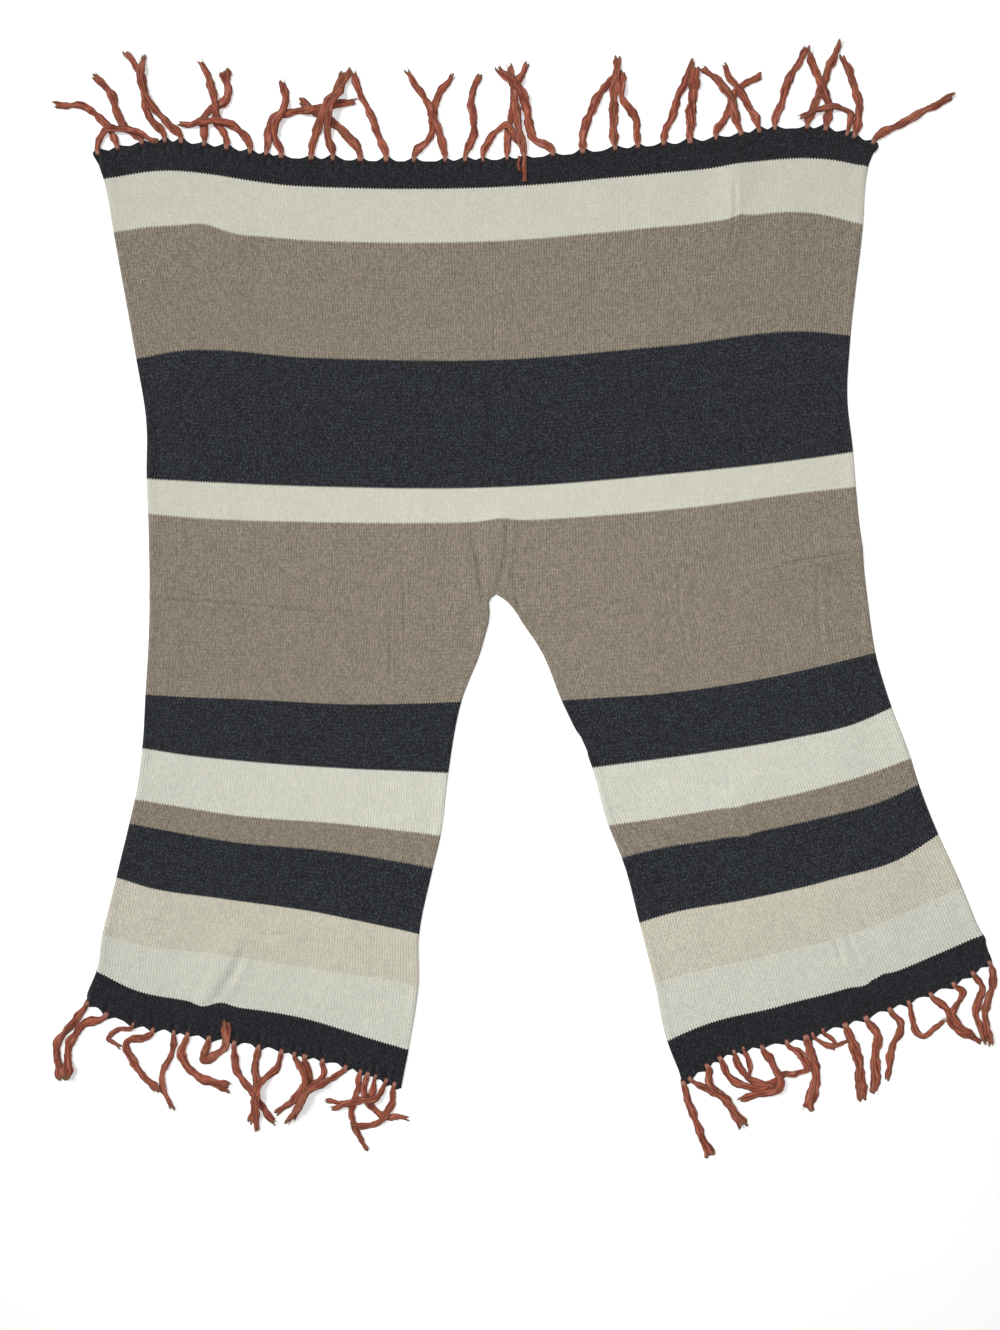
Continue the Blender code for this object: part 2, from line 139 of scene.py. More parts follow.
# Small tugs in the plane of the cloth, each by its middle, how far that moves, and its reach.
Pull = namedtuple("Pull", "x y dx dy wide high")
PULLS = table(
    Pull,
    (6, 116, 0, 4, 24, 24),  # the pleat above the slit
    (-1, 4, 0, 4, 9, 7),
    (-450, 562, 0, 5, 34, 28),
    (-396, 550, 0, -5, 28, 28),
    (374, 575, 0, 3, 12, 22),
    (350, 571, 0, -2, 14, 22),
    (-450, -624, 0, -5, 14, 16),
    (-418, -622, 0, 5, 15, 16),
    (366, -326, 0, -2, 11, 16),
    (380, -368, 0, -3, 11, 16),
    (562, -596, 0, -4, 13, 16),
    (594, -588, 0, 4, 12, 16),
)

# Where a free edge runs outside or inside its rows: half is the piece, edge its side.
Nudge = namedtuple("Nudge", "half edge course dx reach")
NUDGES = table(
    Nudge,
    ("back", "left", -666, -4, 7),
    ("back", "right", -662, 4, 8),
    ("back", "right", -643, -2, 9),
    ("left", "right", 9, -3, 9),
    ("left", "right", 40, 2, 16),
    ("right", "left", 20, 4, 16),
    ("right", "left", 228, 6, 12),
    ("right", "right", 655, 4, 12),
    ("left", "left", 705, 5, 9),
)
NUDGE_INWARD = 90.0  # a nudge has died away this far in from the edge

# The fronts hold fewer wales than the back's halves: how many of the wales' millimetres end
# at the slit and at the side edge, and how far below the shoulder most of them have.
Slant = namedtuple("Slant", "slit side reach")
SLANTS = {"left": Slant(50, 34, 150), "right": Slant(72, 24, 70)}
SLIT_ROUND = 9.0  # the top of the slit opens over this length, in a quarter circle
SLIT_BESIDE = 14.0  # wales about this near to it open with it
SHOULDER_EASE = 30.0  # and the others turn from back to front over this length

# The largest folds, each a low ridge where the cloth lifts off the floor.
Fold = namedtuple("Fold", "x0 y0 x1 y1 high wide")
FOLDS = table(
    Fold,
    (8, 115, 3, 20, 3.5, 22),
    (-43, 66, -20, -10, 2.5, 20),
    (409, 32, 553, 73, 4.0, 24),
    (367, 649, 357, 533, 3.0, 22),
    (-447, 563, -398, 548, 2.5, 26),
    (-517, 9, -438, -18, 2.5, 24),
    (-398, -530, -452, -616, 4.0, 24),
    (363, -317, 386, -366, 3.0, 24),
)

# Creases, each a soft trough between two low ridges. bow: how far it bends sideways at its
# middle, to the left of its way; deep below 0 makes a ridge between two troughs.
Crease = namedtuple("Crease", "x0 y0 x1 y1 bow deep wide")
CREASES = table(
    Crease,
    # over the neck
    (-35, 92, -19, -8, 3, 2.2, 5.0),
    (17, 112, 4, 16, 5, 2.2, 4.5),
    (28, 26, 36, -20, 1, 1.4, 4.5),
    (-16, 88, -8, 14, 2, -1.2, 9.0),
    # along the left shoulder
    (-502, 11, -450, -3, 0, 2.1, 3.2),
    (-504, -8, -366, -16, 2, 2.1, 3.2),
    (-372, -14, -232, -28, -2, 1.3, 3.6),
    (-230, -24, -212, -38, 0, 2.2, 5.0),
    (-221, -38, -220, -132, 2, 1.1, 3.2),
    (-159, 18, -161, -120, -1, 2.5, 2.8),
    (-141, 30, -139, -58, 0, 1.0, 2.8),
    (-143, -30, -138, -46, 0, 1.2, 5.0),
    (-128, -46, -56, -58, 1, 1.4, 3.2),
    # along the right shoulder
    (102, -29, 180, -11, 1, 0.7, 3.4),
    (176, -13, 190, -8, 0, 0.9, 4.0),
    (184, -11, 268, 17, -2, 0.7, 3.4),
    (268, 17, 374, 25, 2, 0.5, 3.4),
    (374, 25, 452, 51, -2, 0.6, 3.2),
    (446, 50, 534, 64, -1, 2.2, 3.4),
    (259, 22, 263, -38, 1, 2.0, 2.8),
    (280, 42, 282, -28, 0, 1.6, 2.8),
    (282, -26, 293, -78, 1, 1.2, 3.2),
    (482, 134, 483, 66, 2, 0.4, 4.2),
    (493, 48, 500, -84, -2, 0.8, 4.2),
    (500, 98, 506, 74, 0, -1.0, 8.0),
    # on the back's broad taupe band
    (-206, 503, -162, 494, -5, 2.1, 4.0),
    (-92, 488, -42, 491, 1, 1.8, 3.4),
    (-46, 491, -12, 478, 2, 1.3, 3.4),
    (-41, 511, -12, 501, -1, 1.5, 3.2),
    (-2, 470, -1, 380, -1, 0.5, 3.2),
    (-2, 431, 48, 420, 2, 2.1, 3.2),
    (62, 471, 99, 482, 1, 1.0, 3.2),
    (-449, 454, -432, 411, 2, 1.5, 3.8),
    (240, 484, 324, 488, 2, 0.6, 4.0),
    (-492, 496, -470, 488, 0, 0.8, 5.0),
    (-17, 286, -21, 226, 1, -0.9, 5.0),
    # across the back's cream band
    (366, 636, 366, 592, 0, 0.8, 4.0),
    (366, 592, 357, 532, 2, 1.0, 3.4),
    (-470, 596, -380, 520, 4, 0.7, 7.0),
    # the left front
    (-360, -521, -306, -521, 2, 0.9, 4.0),
    (-318, -527, -262, -530, -2, 0.8, 3.6),
    (-384, -534, -430, -616, 5, 1.2, 6.5),
    (-438, -562, -468, -620, 3, 0.8, 9.0),
    # the right front
    (354, -262, 358, -300, 1, 0.7, 4.2),
    (364, -312, 381, -376, 2, 1.1, 4.2),
    (519, -530, 532, -564, 1, 1.8, 4.0),
    (539, -520, 558, -556, -1, 1.3, 4.0),
    (556, -482, 567, -506, 0, 0.9, 4.0),
    (558, -576, 588, -600, 2, 1.7, 5.0),
)
CREASED = 1.75  # how sharply all of them are set
CREASE_ENDS = 0.35  # share of its depth that a crease keeps at its ends
DEEPEST = 1.9  # a trough stops here, with cloth still under it

# Unevenness of cloth that isn't pressed: waves of lengths between these two.
RIPPLES = 22
RIPPLE_LONG = (28.0, 150.0)
RIPPLE_HIGH = 0.16
RIPPLE_SEED = 7

# Steps between stations: fine ones near the marks, and coarse ones elsewhere.
Mark = namedtuple("Mark", "at step reach")
COARSE_STEP = 5.4
UNDER_STEP = 4  # the underside takes every fourth station
HEM_FINER = 3  # stations along a hem to each one across the cloth
HEM_ROWS = (0.0, 0.6, 1.4, 2.6, 4.6, 7.6, 11.4, 16.0)  # courses in from the edge
HEM_STATIONS = 561  # places along a hem where its line is worked out for the strands
SLIT_MARK = (0.0, 0.9, 4.0)
LEFT_MARKS = table(Mark, (-HALF_WALES, 0.9, 4.0), SLIT_MARK, (-143, 2.2, 18), (-24, 2.4, 14))
RIGHT_MARKS = table(
    Mark,
    (HALF_WALES, 0.9, 4.0),
    SLIT_MARK,
    (16, 2.4, 14),
    (268, 2.4, 16),
    (366, 3.0, 14),
    (487, 2.8, 16),
)
BACK_MARKS = table(Mark, (-492, 3.0, 22), (-425, 3.2, 12), (-4, 2.4, 40))
FRONT_MARKS = table(Mark, (0, 0.8, 6), (8, 2.2, 40), (525, 3.2, 16))

EDGE_ROUND = 2.4  # the edge is rounded off within this distance
EDGE_FLAT = 0.3  # share of the thickness left at the very edge
FLOOR_GAP = 0.3  # underside of the cloth above the floor
CURL_AT = 7.0  # the side edges roll up most this far in
CURL_WIDE = 6.0
CURL_SLIT = 0.8  # share of it along the slit
CURL_UNDER = 0.5  # and on the underside
# Two waves along an edge that make its roll uneven: the share of it, the courses to a
# radian, and how many radians the left and right edges are moved apart by, each way.
CURL_WAVES = ((0.35, 17, 1), (0.3, 41, 0))
SCALLOP_HIGH = 8.5  # how far a tied strand draws the hem out, give or take
SCALLOP_REACH = 18.0  # how far that reaches along the hem
SCALLOP_DEEP = 15.0  # and into the cloth
SCALLOP_BLUNT = 1.0  # its peak is rounded over this
HIGH_VARIES = 0.3  # shares that the scallops' heights and reaches vary by
REACH_VARIES = 0.2
GATHER_DEEP = 1.3  # the small pleat that runs in from each tied strand
GATHER_WIDE = 3.4
GATHER_LONG = 20.0
GATHER_LEAN = 3.0

# ---- The fringe as it lies ----

# One row for each strand in the order they were laid: x of its root, then its way from
# there a third along, two thirds along and at the tip, its full width, and the width of
# its end as a share of that: over 1 where the loose end has opened into a tuft.
Strand = namedtuple("Strand", "root x1 y1 x2 y2 x3 y3 wide tip", defaults=(0.7,))
BACK_STRANDS = table(
    Strand,
    (-579, -18, 36, -47, 62, -98, 68, 9),
    (-542, -29, 27, -46, 72, -73, 106, 10),
    (-507, -28, 46, -34, 96, -61, 139, 10),
    (-609, 14, 37, 51, 34, 90, 18, 9),
    (-482, -29, 37, -58, 78, -60, 132, 10),
    (-447, 0, 44, 34, 72, 31, 116, 11, 1.1),
    (-413, -14, 43, -21, 89, -40, 135, 10),
    (-377, -18, 37, -58, 47, -109, 41, 10),
    (-208, -17, 36, -48, 60, -94, 92, 11),
    (-352, 11, 57, 72, 69, 139, 84, 10),
    (-329, -12, 37, 6, 80, 2, 118, 10),
    (-283, 11, 52, 31, 93, 50, 129, 11),
    (-250, -9, 50, 5, 93, 29, 139, 10),
    (-168, -13, 43, -34, 91, -51, 134, 10),
    (-126, 26, 40, 34, 92, 60, 133, 10),
    (-78, -9, 41, -29, 90, -60, 138, 10),
    (-47, 14, 44, 9, 89, 21, 132, 10),
    (17, 3, 47, 11, 100, 2, 145, 10),
    (-20, 12, 35, 37, 52, 55, 25, 9),
    (43, -8, 43, -14, 101, 5, 147, 10),
    (87, -31, 29, -43, 84, -84, 136, 11),
    (133, 3, 38, 20, 80, 54, 124, 11),
    (182, -3, 47, 0, 95, 3, 142, 11),
    (217, -3, 41, -23, 75, -23, 116, 10),
    (257, 11, 41, 26, 83, 46, 129, 10),
    (297, 2, 40, 5, 78, 8, 116, 13, 1.0),
    (337, 17, 37, 34, 77, 72, 98, 10),
    (375, -9, 29, -26, 72, -61, 103, 11),
    (403, -14, 37, -32, 61, -55, 103, 10),
    (427, 9, 40, 24, 81, 51, 127, 10),
    (476, 15, 41, 29, 78, 52, 133, 11),
    (504, 5, 37, -8, 69, -24, 119, 11),
    (548, 8, 31, 3, 70, -18, 126, 10),
    (537, 6, 33, -26, 42, -73, 24, 8),
    (577, 29, 23, 72, 46, 124, 75, 10),
)
LEFT_STRANDS = table(
    Strand,
    (-625, -20, -29, -49, -72, -37, -118, 10, 1.3),
    (-596, -35, -17, -57, -47, -60, -98, 11, 1.2),
    (-556, -24, -9, -39, -23, -19, -35, 7),
    (-493, -2, -31, -20, -70, -3, -119, 8),
    (-525, -41, -23, -29, -55, 8, -96, 9, 0.9),
    (-472, -11, -29, 17, -67, 64, -84, 10, 1.3),
    (-400, 3, -43, 28, -80, 61, -126, 9),
    (-439, -9, -36, 22, -17, 26, 24, 10, 1.2),
    (-363, -6, -37, -3, -70, -14, -118, 10),
    (-328, -5, -23, -31, -49, -38, -122, 9),
    (-292, 5, -31, -14, -63, -46, -89, 10),
    (-308, 12, -23, 17, -51, -11, -106, 9),
    (-265, 2, -21, -18, -41, -46, -90, 9),
    (-230, -14, -15, -49, -31, -89, -87, 9),
    (-207, -6, -31, -14, -73, 9, -121, 8),
    (-184, -9, -31, -34, -41, -77, -38, 8),
    (-196, -5, -31, 18, -63, 61, -69, 9),
    (-168, -12, -23, -44, -29, -84, -43, 8),
    (-155, -6, -35, -28, -61, -67, -64, 9),
)
RIGHT_STRANDS = table(
    Strand,
    (286, 9, -29, 23, -70, 43, -112, 10, 1.3),
    (296, 24, -15, 57, -38, 78, -77, 9),
    (322, 5, -26, 32, -54, 60, -93, 10),
    (342, 14, -28, 55, -49, 106, -24, 10),
    (364, 5, -18, 23, -40, 64, -54, 9),
    (379, 6, -12, 11, -28, 6, -44, 8),
    (407, 15, -25, 28, -54, -34, -83, 10),
    (474, 9, -28, 15, -69, 3, -113, 13, 1.1),
    (445, 21, -20, 31, -43, -2, -49, 9),
    (501, 8, -9, 18, -18, 14, -29, 8),
    (485, 12, -12, 31, -17, 58, -11, 7),
    (534, 11, -26, 23, -70, 25, -116, 13, 1.0),
    (566, 17, -25, 15, -66, 14, -118, 12, 1.1),
    (602, 17, -21, 5, -60, -3, -110, 10),
    (631, 6, -25, 20, -54, 55, -28, 9),
    (665, 20, -18, 37, -51, 80, -75, 10),
    (700, 14, -11, -2, -46, 28, -80, 9),
    (729, 14, -21, 6, -64, 21, -107, 10),
    (754, 8, -25, -5, -74, 2, -126, 10),
)
# Short ends of tied strands that lie back over the hem's band.
BACK_TAILS = table(
    Strand,
    (43, 0, -12, 1, -24, 1, -37, 8),
    (35, -1, -7, 0, -14, 0, -21, 5),
)

ROOT_INSIDE = 4.5  # a strand comes out of the cloth this far inside the hem
ROOT_DIVE = 3.8  # and from this far below where it then lies
ROOT_DIVE_LONG = 2.8  # which it climbs over about this length
FULLER = 1.24  # how much wider loose roving lies than the width that its row gives
ROOT_SHARE = 0.5  # width of a strand where it is tied, as a share of its full width
ROOT_LONG = 26.0  # and how far from there it takes to open out
TIP_LONG = 26.0  # the tip's own width is eased in over this length
STRAND_LEAD = 5.0  # how far a strand runs straight out of the hem, which is square to
HEM_CHORD = 5.0  # the hem's line between two places this far to its sides
STRAND_LIFT = 0.35  # underside of a strand that lies on the floor
STRAND_CLEAR = 0.2  # and gap over what it crosses
STRAND_MEETS = 0.8  # strands touch when they lie within this share of their half widths
STRAND_PRESSED = 1.7  # height of a strand with another on it, of 2 where it is full
STRAND_SLOPE = 0.3  # steepest climb over what it crosses
STRAND_OWN = 22.0  # past this length from its root, a strand clears the cloth it lies over
HEM_OWN = 8.0  # up to this length from its root, a strand still lies on the hem
TAIL_RAISED = 0.9  # a tail that lies back over the hem is this far above the cloth
PHASES = (0, 6)  # radians
WIDTH_WAVES = ((0.13, 44), (0.10, 23), (0.06, 11))  # share of the width, and wave's length
WIDTH_VARIES = (0.8, 1.25)  # share of that length
HEIGHT_WAVE = (0.1, 11)  # share of the height, and length to a radian
SWAY_WAVES = ((1.0, (8, 12)), (0.5, (4, 5.5)))  # share of the sway, and lengths to a radian
SWAY_WIDE = 0.9  # loose roving never lies quite true to its line, but sways by this,
SWAY_START = 12.0  # from this far along it
SWAY_EASE = 20.0  # and over this length more and more

# The locks of a strand lie round its core. Out, up and sizes are shares of the strand's half
# width and height; ends, parting and wisps are shares of its length.
CORE_END = 0.985
CORE_SIZE = 0.74
LOCK_ENDS = (0.95, 1.03)
LOCK_SIZE = 0.47
LOCK_VARIES = (0.85, 1.15)  # share of that size
LOCK_OUT = 0.52
LOCK_UP = 0.46
LOCK_ASIDE = (-0.35, 0.35)  # radians off its even place round the core
LOCK_TURNS = (0.6, 1.6)  # radians that all of them turn by, from root to tip
LOCK_WAVE = 0.35  # radians that each wavers by on its way
LOCK_BEATS = (5, 11)  # radians of that wave, from root to tip
LOCK_PARTS = (0.1, 0.9)  # how much further out than LOCK_OUT it ends
PART_LONG = 0.11  # over this last share
WISP_LONG = 0.07
WISP_END = 0.22  # share of its size left at its very end
SWELL_LONG = 0.03  # a lock swells from half its size to all of it over this first share
THINNEST = (1.0, 0.8)  # least half width and half height of a strand, in millimetres

# The loose fibres that leave a strand's sides, or its tip. Shares of the strand's length,
# or millimetres.
HAIR_START = (0.08, 0.88)
HAIR_RUN = (0.06, 0.16)
TIP_HAIR_START = (0.92, 0.96)
TIP_HAIR_RUN = 0.08
TIP_HAIRS = 0.5  # share of them that leave the tip
HAIR_INSIDE = (0.55, 0.95)  # share of the half width where it starts
HAIR_OUT = (0.3, 3.0)  # how far out it ends
HAIR_WAVE = (0.1, 0.8)
HAIR_BEATS = (3, 8)  # radians of that wave over its run
HAIR_RISE = (-1.0, 2.2)
HAIR_LIFT = 0.2  # it stays this far off the floor
HAIR_HALF = 0.16  # half its width
HAIR_TAPER = (1.15, 0.75)  # times this at its start, and this much less at its end

FINE_STEPS = 132  # steps along a strand in which its way and height are worked out
RINGS = 45  # rings of points along a lock
HAIR_RINGS = 9
CORE_SIDES = 8
LOCK_SIDES = 6
HAIR_SIDES = 3

# ---- The stage, in metres ----

FLOOR_HALF = 20.0  # from the middle of the floor to its sides
FLOOR_STATIONS = 17
KEY_PLACE = (-6.4, 3.8, 7.0)
KEY_SIZE = 4.2
FILL_PLACE = (0.16, -0.1, 1.7)
FILL_SIZE = 0.9
CAMERA_PLACE = (-0.038, -0.102)
SENSOR_WIDE = 36.0  # millimetres


def smooth(knots, values, at):
    """Cubic through values at the knots, with the slope of the neighbours' parabola at each."""
    knots = np.asarray(knots, float)
    values = np.asarray(values, float)
    slopes = np.gradient(values, knots, axis=0)
    first = np.clip(np.searchsorted(knots, at, side="right") - 1, 0, len(knots) - 2)
    span = (knots[first + 1] - knots[first]).reshape((-1,) + (1,) * (values.ndim - 1))
    t = (np.asarray(at, float) - knots[first]).reshape(span.shape) / span
    start = values[first] * (1 + 2 * t) * (1 - t) ** 2 + slopes[first] * span * t * (1 - t) ** 2
    end = values[first + 1] * t**2 * (3 - 2 * t) + slopes[first + 1] * span * t**2 * (t - 1)
    return start + end


def bell(away, wide):
    """1 at the middle, dying away as exp(-(away / wide)²)."""
    return np.exp(-((away / wide) ** 2))


def placed(x, y, z):
    """Points in metres in the object's frame, from millimetres about the neck."""
    return np.stack([x - CENTRE[0], y - CENTRE[1], z], axis=-1) * MM


# ---- The cloth's shape ----


def stations(start, end, marks):
    """Places from start to end, closer together near the marks, in a whole number of under steps.

    The density of steps is one over the coarse step, raised in a bell about each mark to one
    over its own step; equal shares of that density's integral give the places.
    """
    quarters = int(abs(end - start) * 4)  # of a millimetre
    fine = np.linspace(start, end, quarters + 1)
    density = np.full(len(fine), 1 / COARSE_STEP)
    for mark in marks:
        raised = (1 / mark.step - 1 / COARSE_STEP) * bell(fine - mark.at, mark.reach)
        density = np.maximum(density, 1 / COARSE_STEP + raised)
    count = np.append(0, np.cumsum((density[1:] + density[:-1]) / 2 * np.abs(np.diff(fine))))
    steps = UNDER_STEP * int(np.ceil(count[-1] / UNDER_STEP))
    return np.interp(np.linspace(0, count[-1], steps + 1), count, fine)


def nudged(half, x, across, wide, courses):
    """x with the free edges of one piece moved by their nudges.

    Each moves it by dx times a bell along the edge times (1 - inward / NUDGE_INWARD)².
    """
    for nudge in NUDGES:
        if nudge.half == half:
            inward = wide * (across if nudge.edge == "left" else 1 - across)
            share = np.clip(1 - inward / NUDGE_INWARD, 0, 1) ** 2
            x = x + nudge.dx * bell(courses - nudge.course, nudge.reach)[:, None] * share
    return x


def back_cloth(across, courses):
    """x and y of the back, courses by wales: each wale runs between its marks on the rows."""
    marks = smooth([row.course for row in BACK_ROWS], [row[1:] for row in BACK_ROWS], courses)
    left, centre, right = (marks[:, [column]] for column in range(3))
    x = left + (centre - left) * np.minimum(2 * across, 1)
    x = x + (right - centre) * np.maximum(2 * across - 1, 0)
    x = nudged("back", x, across, right - left, courses)
    return x, smooth(BACK_ACROSS, marks[:, 3:].T, across).T


def front_cloth(half, across, courses):
    """x and y of one front, courses by wales, with its edges nudged."""
    rows = LEFT_ROWS if half == "left" else RIGHT_ROWS
    marks = smooth([row.course for row in rows], [row[1:] for row in rows], courses)
    wide = marks[:, [1]] - marks[:, [0]]
    x = nudged(half, marks[:, [0]] + wide * across, across, wide, courses)
    return x, smooth(FRONT_ACROSS, marks[:, 2:].T, across).T


def hem_of(half):
    """x and y along a hem: the back's, or that of the left or right front."""
    across = np.linspace(0, 1, HEM_STATIONS)
    if half == "back":
        x, y = back_cloth(across, np.array([BACK_HEM]))
    else:
        x, y = front_cloth(half, across, np.array([FRONT_HEM]))
    return x[0], y[0]


def scallops(x, strands):
    """How far the edge is drawn out at x: a peak of height (1 - away / reach)^1.5 at each root.

    The roots' own numbers, through a sine, make the peaks uneven in height and reach.
    """
    roots = np.array([strand.root for strand in strands], float)
    high = SCALLOP_HIGH * (1 + HIGH_VARIES * np.sin(roots))
    reach = SCALLOP_REACH * (1 + REACH_VARIES * np.sin(1.7 * roots))
    away = np.sqrt((x[..., None] - roots) ** 2 + SCALLOP_BLUNT**2)
    return (high * np.clip(1 - away / reach, 0, 1) ** 1.5).max(axis=-1)


def tugged(x, y):
    """The places moved by each small pull, in full at its middle and dying away in a bell."""
    moved_x = x.copy()
    moved_y = y.copy()
    for pull in PULLS:
        share = bell(x - pull.x, pull.wide) * bell(y - pull.y, pull.high)
        moved_x += pull.dx * share
        moved_y += pull.dy * share
    return moved_x, moved_y


def lift(x, y):
    """Height of the large folds: along each, a bell across its line, and past its ends."""
    height = np.zeros_like(x)
    for fold in FOLDS:
        start = np.array([fold.x0, fold.y0], float)
        along = np.array([fold.x1, fold.y1], float) - start
        share = ((x - start[0]) * along[0] + (y - start[1]) * along[1]) / (along @ along)
        share = np.clip(share, 0, 1)
        away = np.hypot(x - start[0] - share * along[0], y - start[1] - share * along[1])
        height = np.maximum(height, fold.high * bell(away, fold.wide))
    return height


def creased(x, y, creases):
    """Depth of the creases added up: each is a trough between ridges, (1 - q²) exp(-q²/2).

    q is the distance from the crease's line, bowed by 4 share (1 - share), over its width.
    The crease fades out over its two ends.
    """
    height = np.zeros_like(x)
    for crease in creases:
        start = np.array([crease.x0, crease.y0], float)
        along = np.array([crease.x1, crease.y1], float) - start
        length = np.hypot(*along)
        along /= length
        reach = length / 2 + 8 * crease.wide + 20  # nothing is left of it past this
        near = np.abs(x - start[0] - along[0] * length / 2) < reach
        near &= np.abs(y - start[1] - along[1] * length / 2) < reach
        dx = x[near] - start[0]
        dy = y[near] - start[1]
        share = (dx * along[0] + dy * along[1]) / length
        off = dy * along[0] - dx * along[1] - crease.bow * 4 * share * (1 - share)
        beyond = np.maximum(np.abs(share - 0.5) - 0.5, 0) * length
        q = np.hypot(off, beyond) / crease.wide
        fade = CREASE_ENDS + (1 - CREASE_ENDS) * np.sqrt(np.clip(4 * share * (1 - share), 0, 1))
        height[near] -= CREASED * crease.deep * fade * (1 - q**2) * np.exp(-(q**2) / 2)
    return height


def ripples(x, y):
    """Slight unevenness of cloth that isn't pressed: a sum of crossing waves."""
    random = np.random.default_rng(RIPPLE_SEED)
    height = np.zeros_like(x)
    for wave in range(RIPPLES):
        length = random.uniform(*RIPPLE_LONG)
        turn = random.uniform(0, np.pi)
        phase = random.uniform(0, 2 * np.pi)
        along = x * np.cos(turn) + y * np.sin(turn)
        height += length / RIPPLE_LONG[1] * np.sin(2 * np.pi * along / length + phase)
    return RIPPLE_HIGH * height


def gathers(strands, half):
    """The small pleats that run into the cloth from the roots of one hem's strands."""
    hem_x, hem_y = hem_of(half)
    inward = -GATHER_LONG if half == "back" else GATHER_LONG
    pleats = []
    for strand in strands:
        x = strand.root
        y = np.interp(x, hem_x, hem_y)
        lean = GATHER_LEAN * np.sin(x)
        pleats.append(Crease(x, y, x + lean, y + inward, 0, GATHER_DEEP, GATHER_WIDE))
    return pleats


def sheet_surfaces(wale, course, x, y, edge, cloth):
    """Heights of the face and the underside, in millimetres.

    The face is the wall's thickness over the lift of the folds, plus the creases, the
    ripples and the roll of the side edges; within the rounding of an edge, both come
    together on a quarter circle.
    """
    pleats = (
        *CREASES,
        *gathers(BACK_STRANDS, "back"),
        *gathers(LEFT_STRANDS, "left"),
        *gathers(RIGHT_STRANDS, "right"),
    )
    wall = cloth.thickness / MM
    lifted = lift(x, y)
    side = HALF_WALES - np.abs(wale)
    slit = np.where(course > 0, np.abs(wale), HALF_WALES)
    waver = 1.0
    for share, beat, apart in CURL_WAVES:
        waver = waver + share * np.sin(course / beat + apart * np.sign(wale))
    roll = bell(side - CURL_AT, CURL_WIDE) + CURL_SLIT * bell(slit - CURL_AT, CURL_WIDE)
    roll = cloth.edge_roll / MM * roll * waver
    relief = np.maximum(creased(x, y, pleats) + ripples(x, y), -DEEPEST) + roll
    under = FLOOR_GAP + lifted + CURL_UNDER * roll
    face = wall + lifted + relief
    rounding = np.sqrt(1 - (1 - np.clip(edge / EDGE_ROUND, 0, 1)) ** 2)
    rounding = EDGE_FLAT + (1 - EDGE_FLAT) * rounding
    middle = (face + under) / 2
    half = (face - under) / 2 * rounding
    return middle + half, middle - half


def finer(places):
    """The places with HEM_FINER even steps in each step."""
    steps = np.arange((len(places) - 1) * HEM_FINER + 1) / HEM_FINER
    return np.interp(steps, np.arange(len(places)), places)


def cloth_grid():
    """The sheet's net: wale, course, x, y and distance from an edge of each point, and its patches.

    The back is one grid, wales across and courses down to the shoulder, and each front is a
    grid hung from its half of the back's last course, so the slit opens at the middle wale.
    Along each hem runs a strip with finer stations. A patch is (strip, main) for each piece,
    numbers of points by course and wale, and a strip's inner course holds the main's last.
    """
    left = stations(-HALF_WALES, 0, LEFT_MARKS)
    right = stations(0, HALF_WALES, RIGHT_MARKS)
    wales = np.append(left, right[1:])
    rows = np.array(HEM_ROWS)
    back = stations(BACK_HEM + rows[-1], 0, BACK_MARKS)
    front = stations(0, FRONT_HEM - rows[-1], FRONT_MARKS)
    middle = len(left) - 1
    columns = []

    def grid(some_wales, courses, x, y):
        """Takes in a grid of points and gives their numbers."""
        number = sum(len(column[0]) for column in columns) + np.arange(x.size).reshape(x.shape)
        wale, course = np.meshgrid(some_wales, courses)
        columns.append((wale.ravel(), course.ravel(), x.ravel(), y.ravel()))
        return number

    def across(some_wales):
        return (some_wales / HALF_WALES + 1) / 2

    fine = finer(wales)
    strip = grid(fine, BACK_HEM + rows, *back_cloth(across(fine), BACK_HEM + rows))
    shoulder_x, shoulder_y = back_cloth(across(wales), np.array([0.0]))
    main = grid(wales, back[1:], *back_cloth(across(wales), back[1:]))
    main = np.vstack([strip[-1, ::HEM_FINER], main])
    patches = [(strip, main)]
    opened = 1 - np.sqrt(1 - np.clip(1 - front / SLIT_ROUND, 0, 1) ** 2)
    eased = np.exp(-front / SHOULDER_EASE)
    for half, taken, start in (
        ("left", slice(0, middle + 1), HALF_WALES),
        ("right", slice(middle, None), 0.0),
    ):
        some = wales[taken]
        fine = finer(some)
        x, y = front_cloth(half, (some + start) / HALF_WALES, front)
        # Near the shoulder the front's points ease into those of the back's last course.
        beside = np.exp(-np.abs(some) / SLIT_BESIDE)
        ease = opened[:, None] * beside + eased[:, None] * (1 - beside)
        x = x + (shoulder_x[0, taken] - x[0]) * ease
        y = y + (shoulder_y[0, taken] - y[0]) * ease
        body = grid(some, front[1:-1], x[1:-1], y[1:-1])
        hem = FRONT_HEM - rows[::-1]
        strip = grid(fine, hem, *front_cloth(half, (fine + start) / HALF_WALES, hem))
        patches.append((strip, np.vstack([main[-1, taken], body, strip[0, ::HEM_FINER]])))
    wale, course, x, y = (np.concatenate(column) for column in zip(*columns))
    slit = np.where(course >= 0, np.abs(wale), np.hypot(wale, course))
    edge = np.minimum(HALF_WALES - np.abs(wale), slit)
    edge = np.minimum(edge, np.minimum(course - BACK_HEM, FRONT_HEM - course))
    return wale, course, x, y, np.maximum(edge, 0), patches


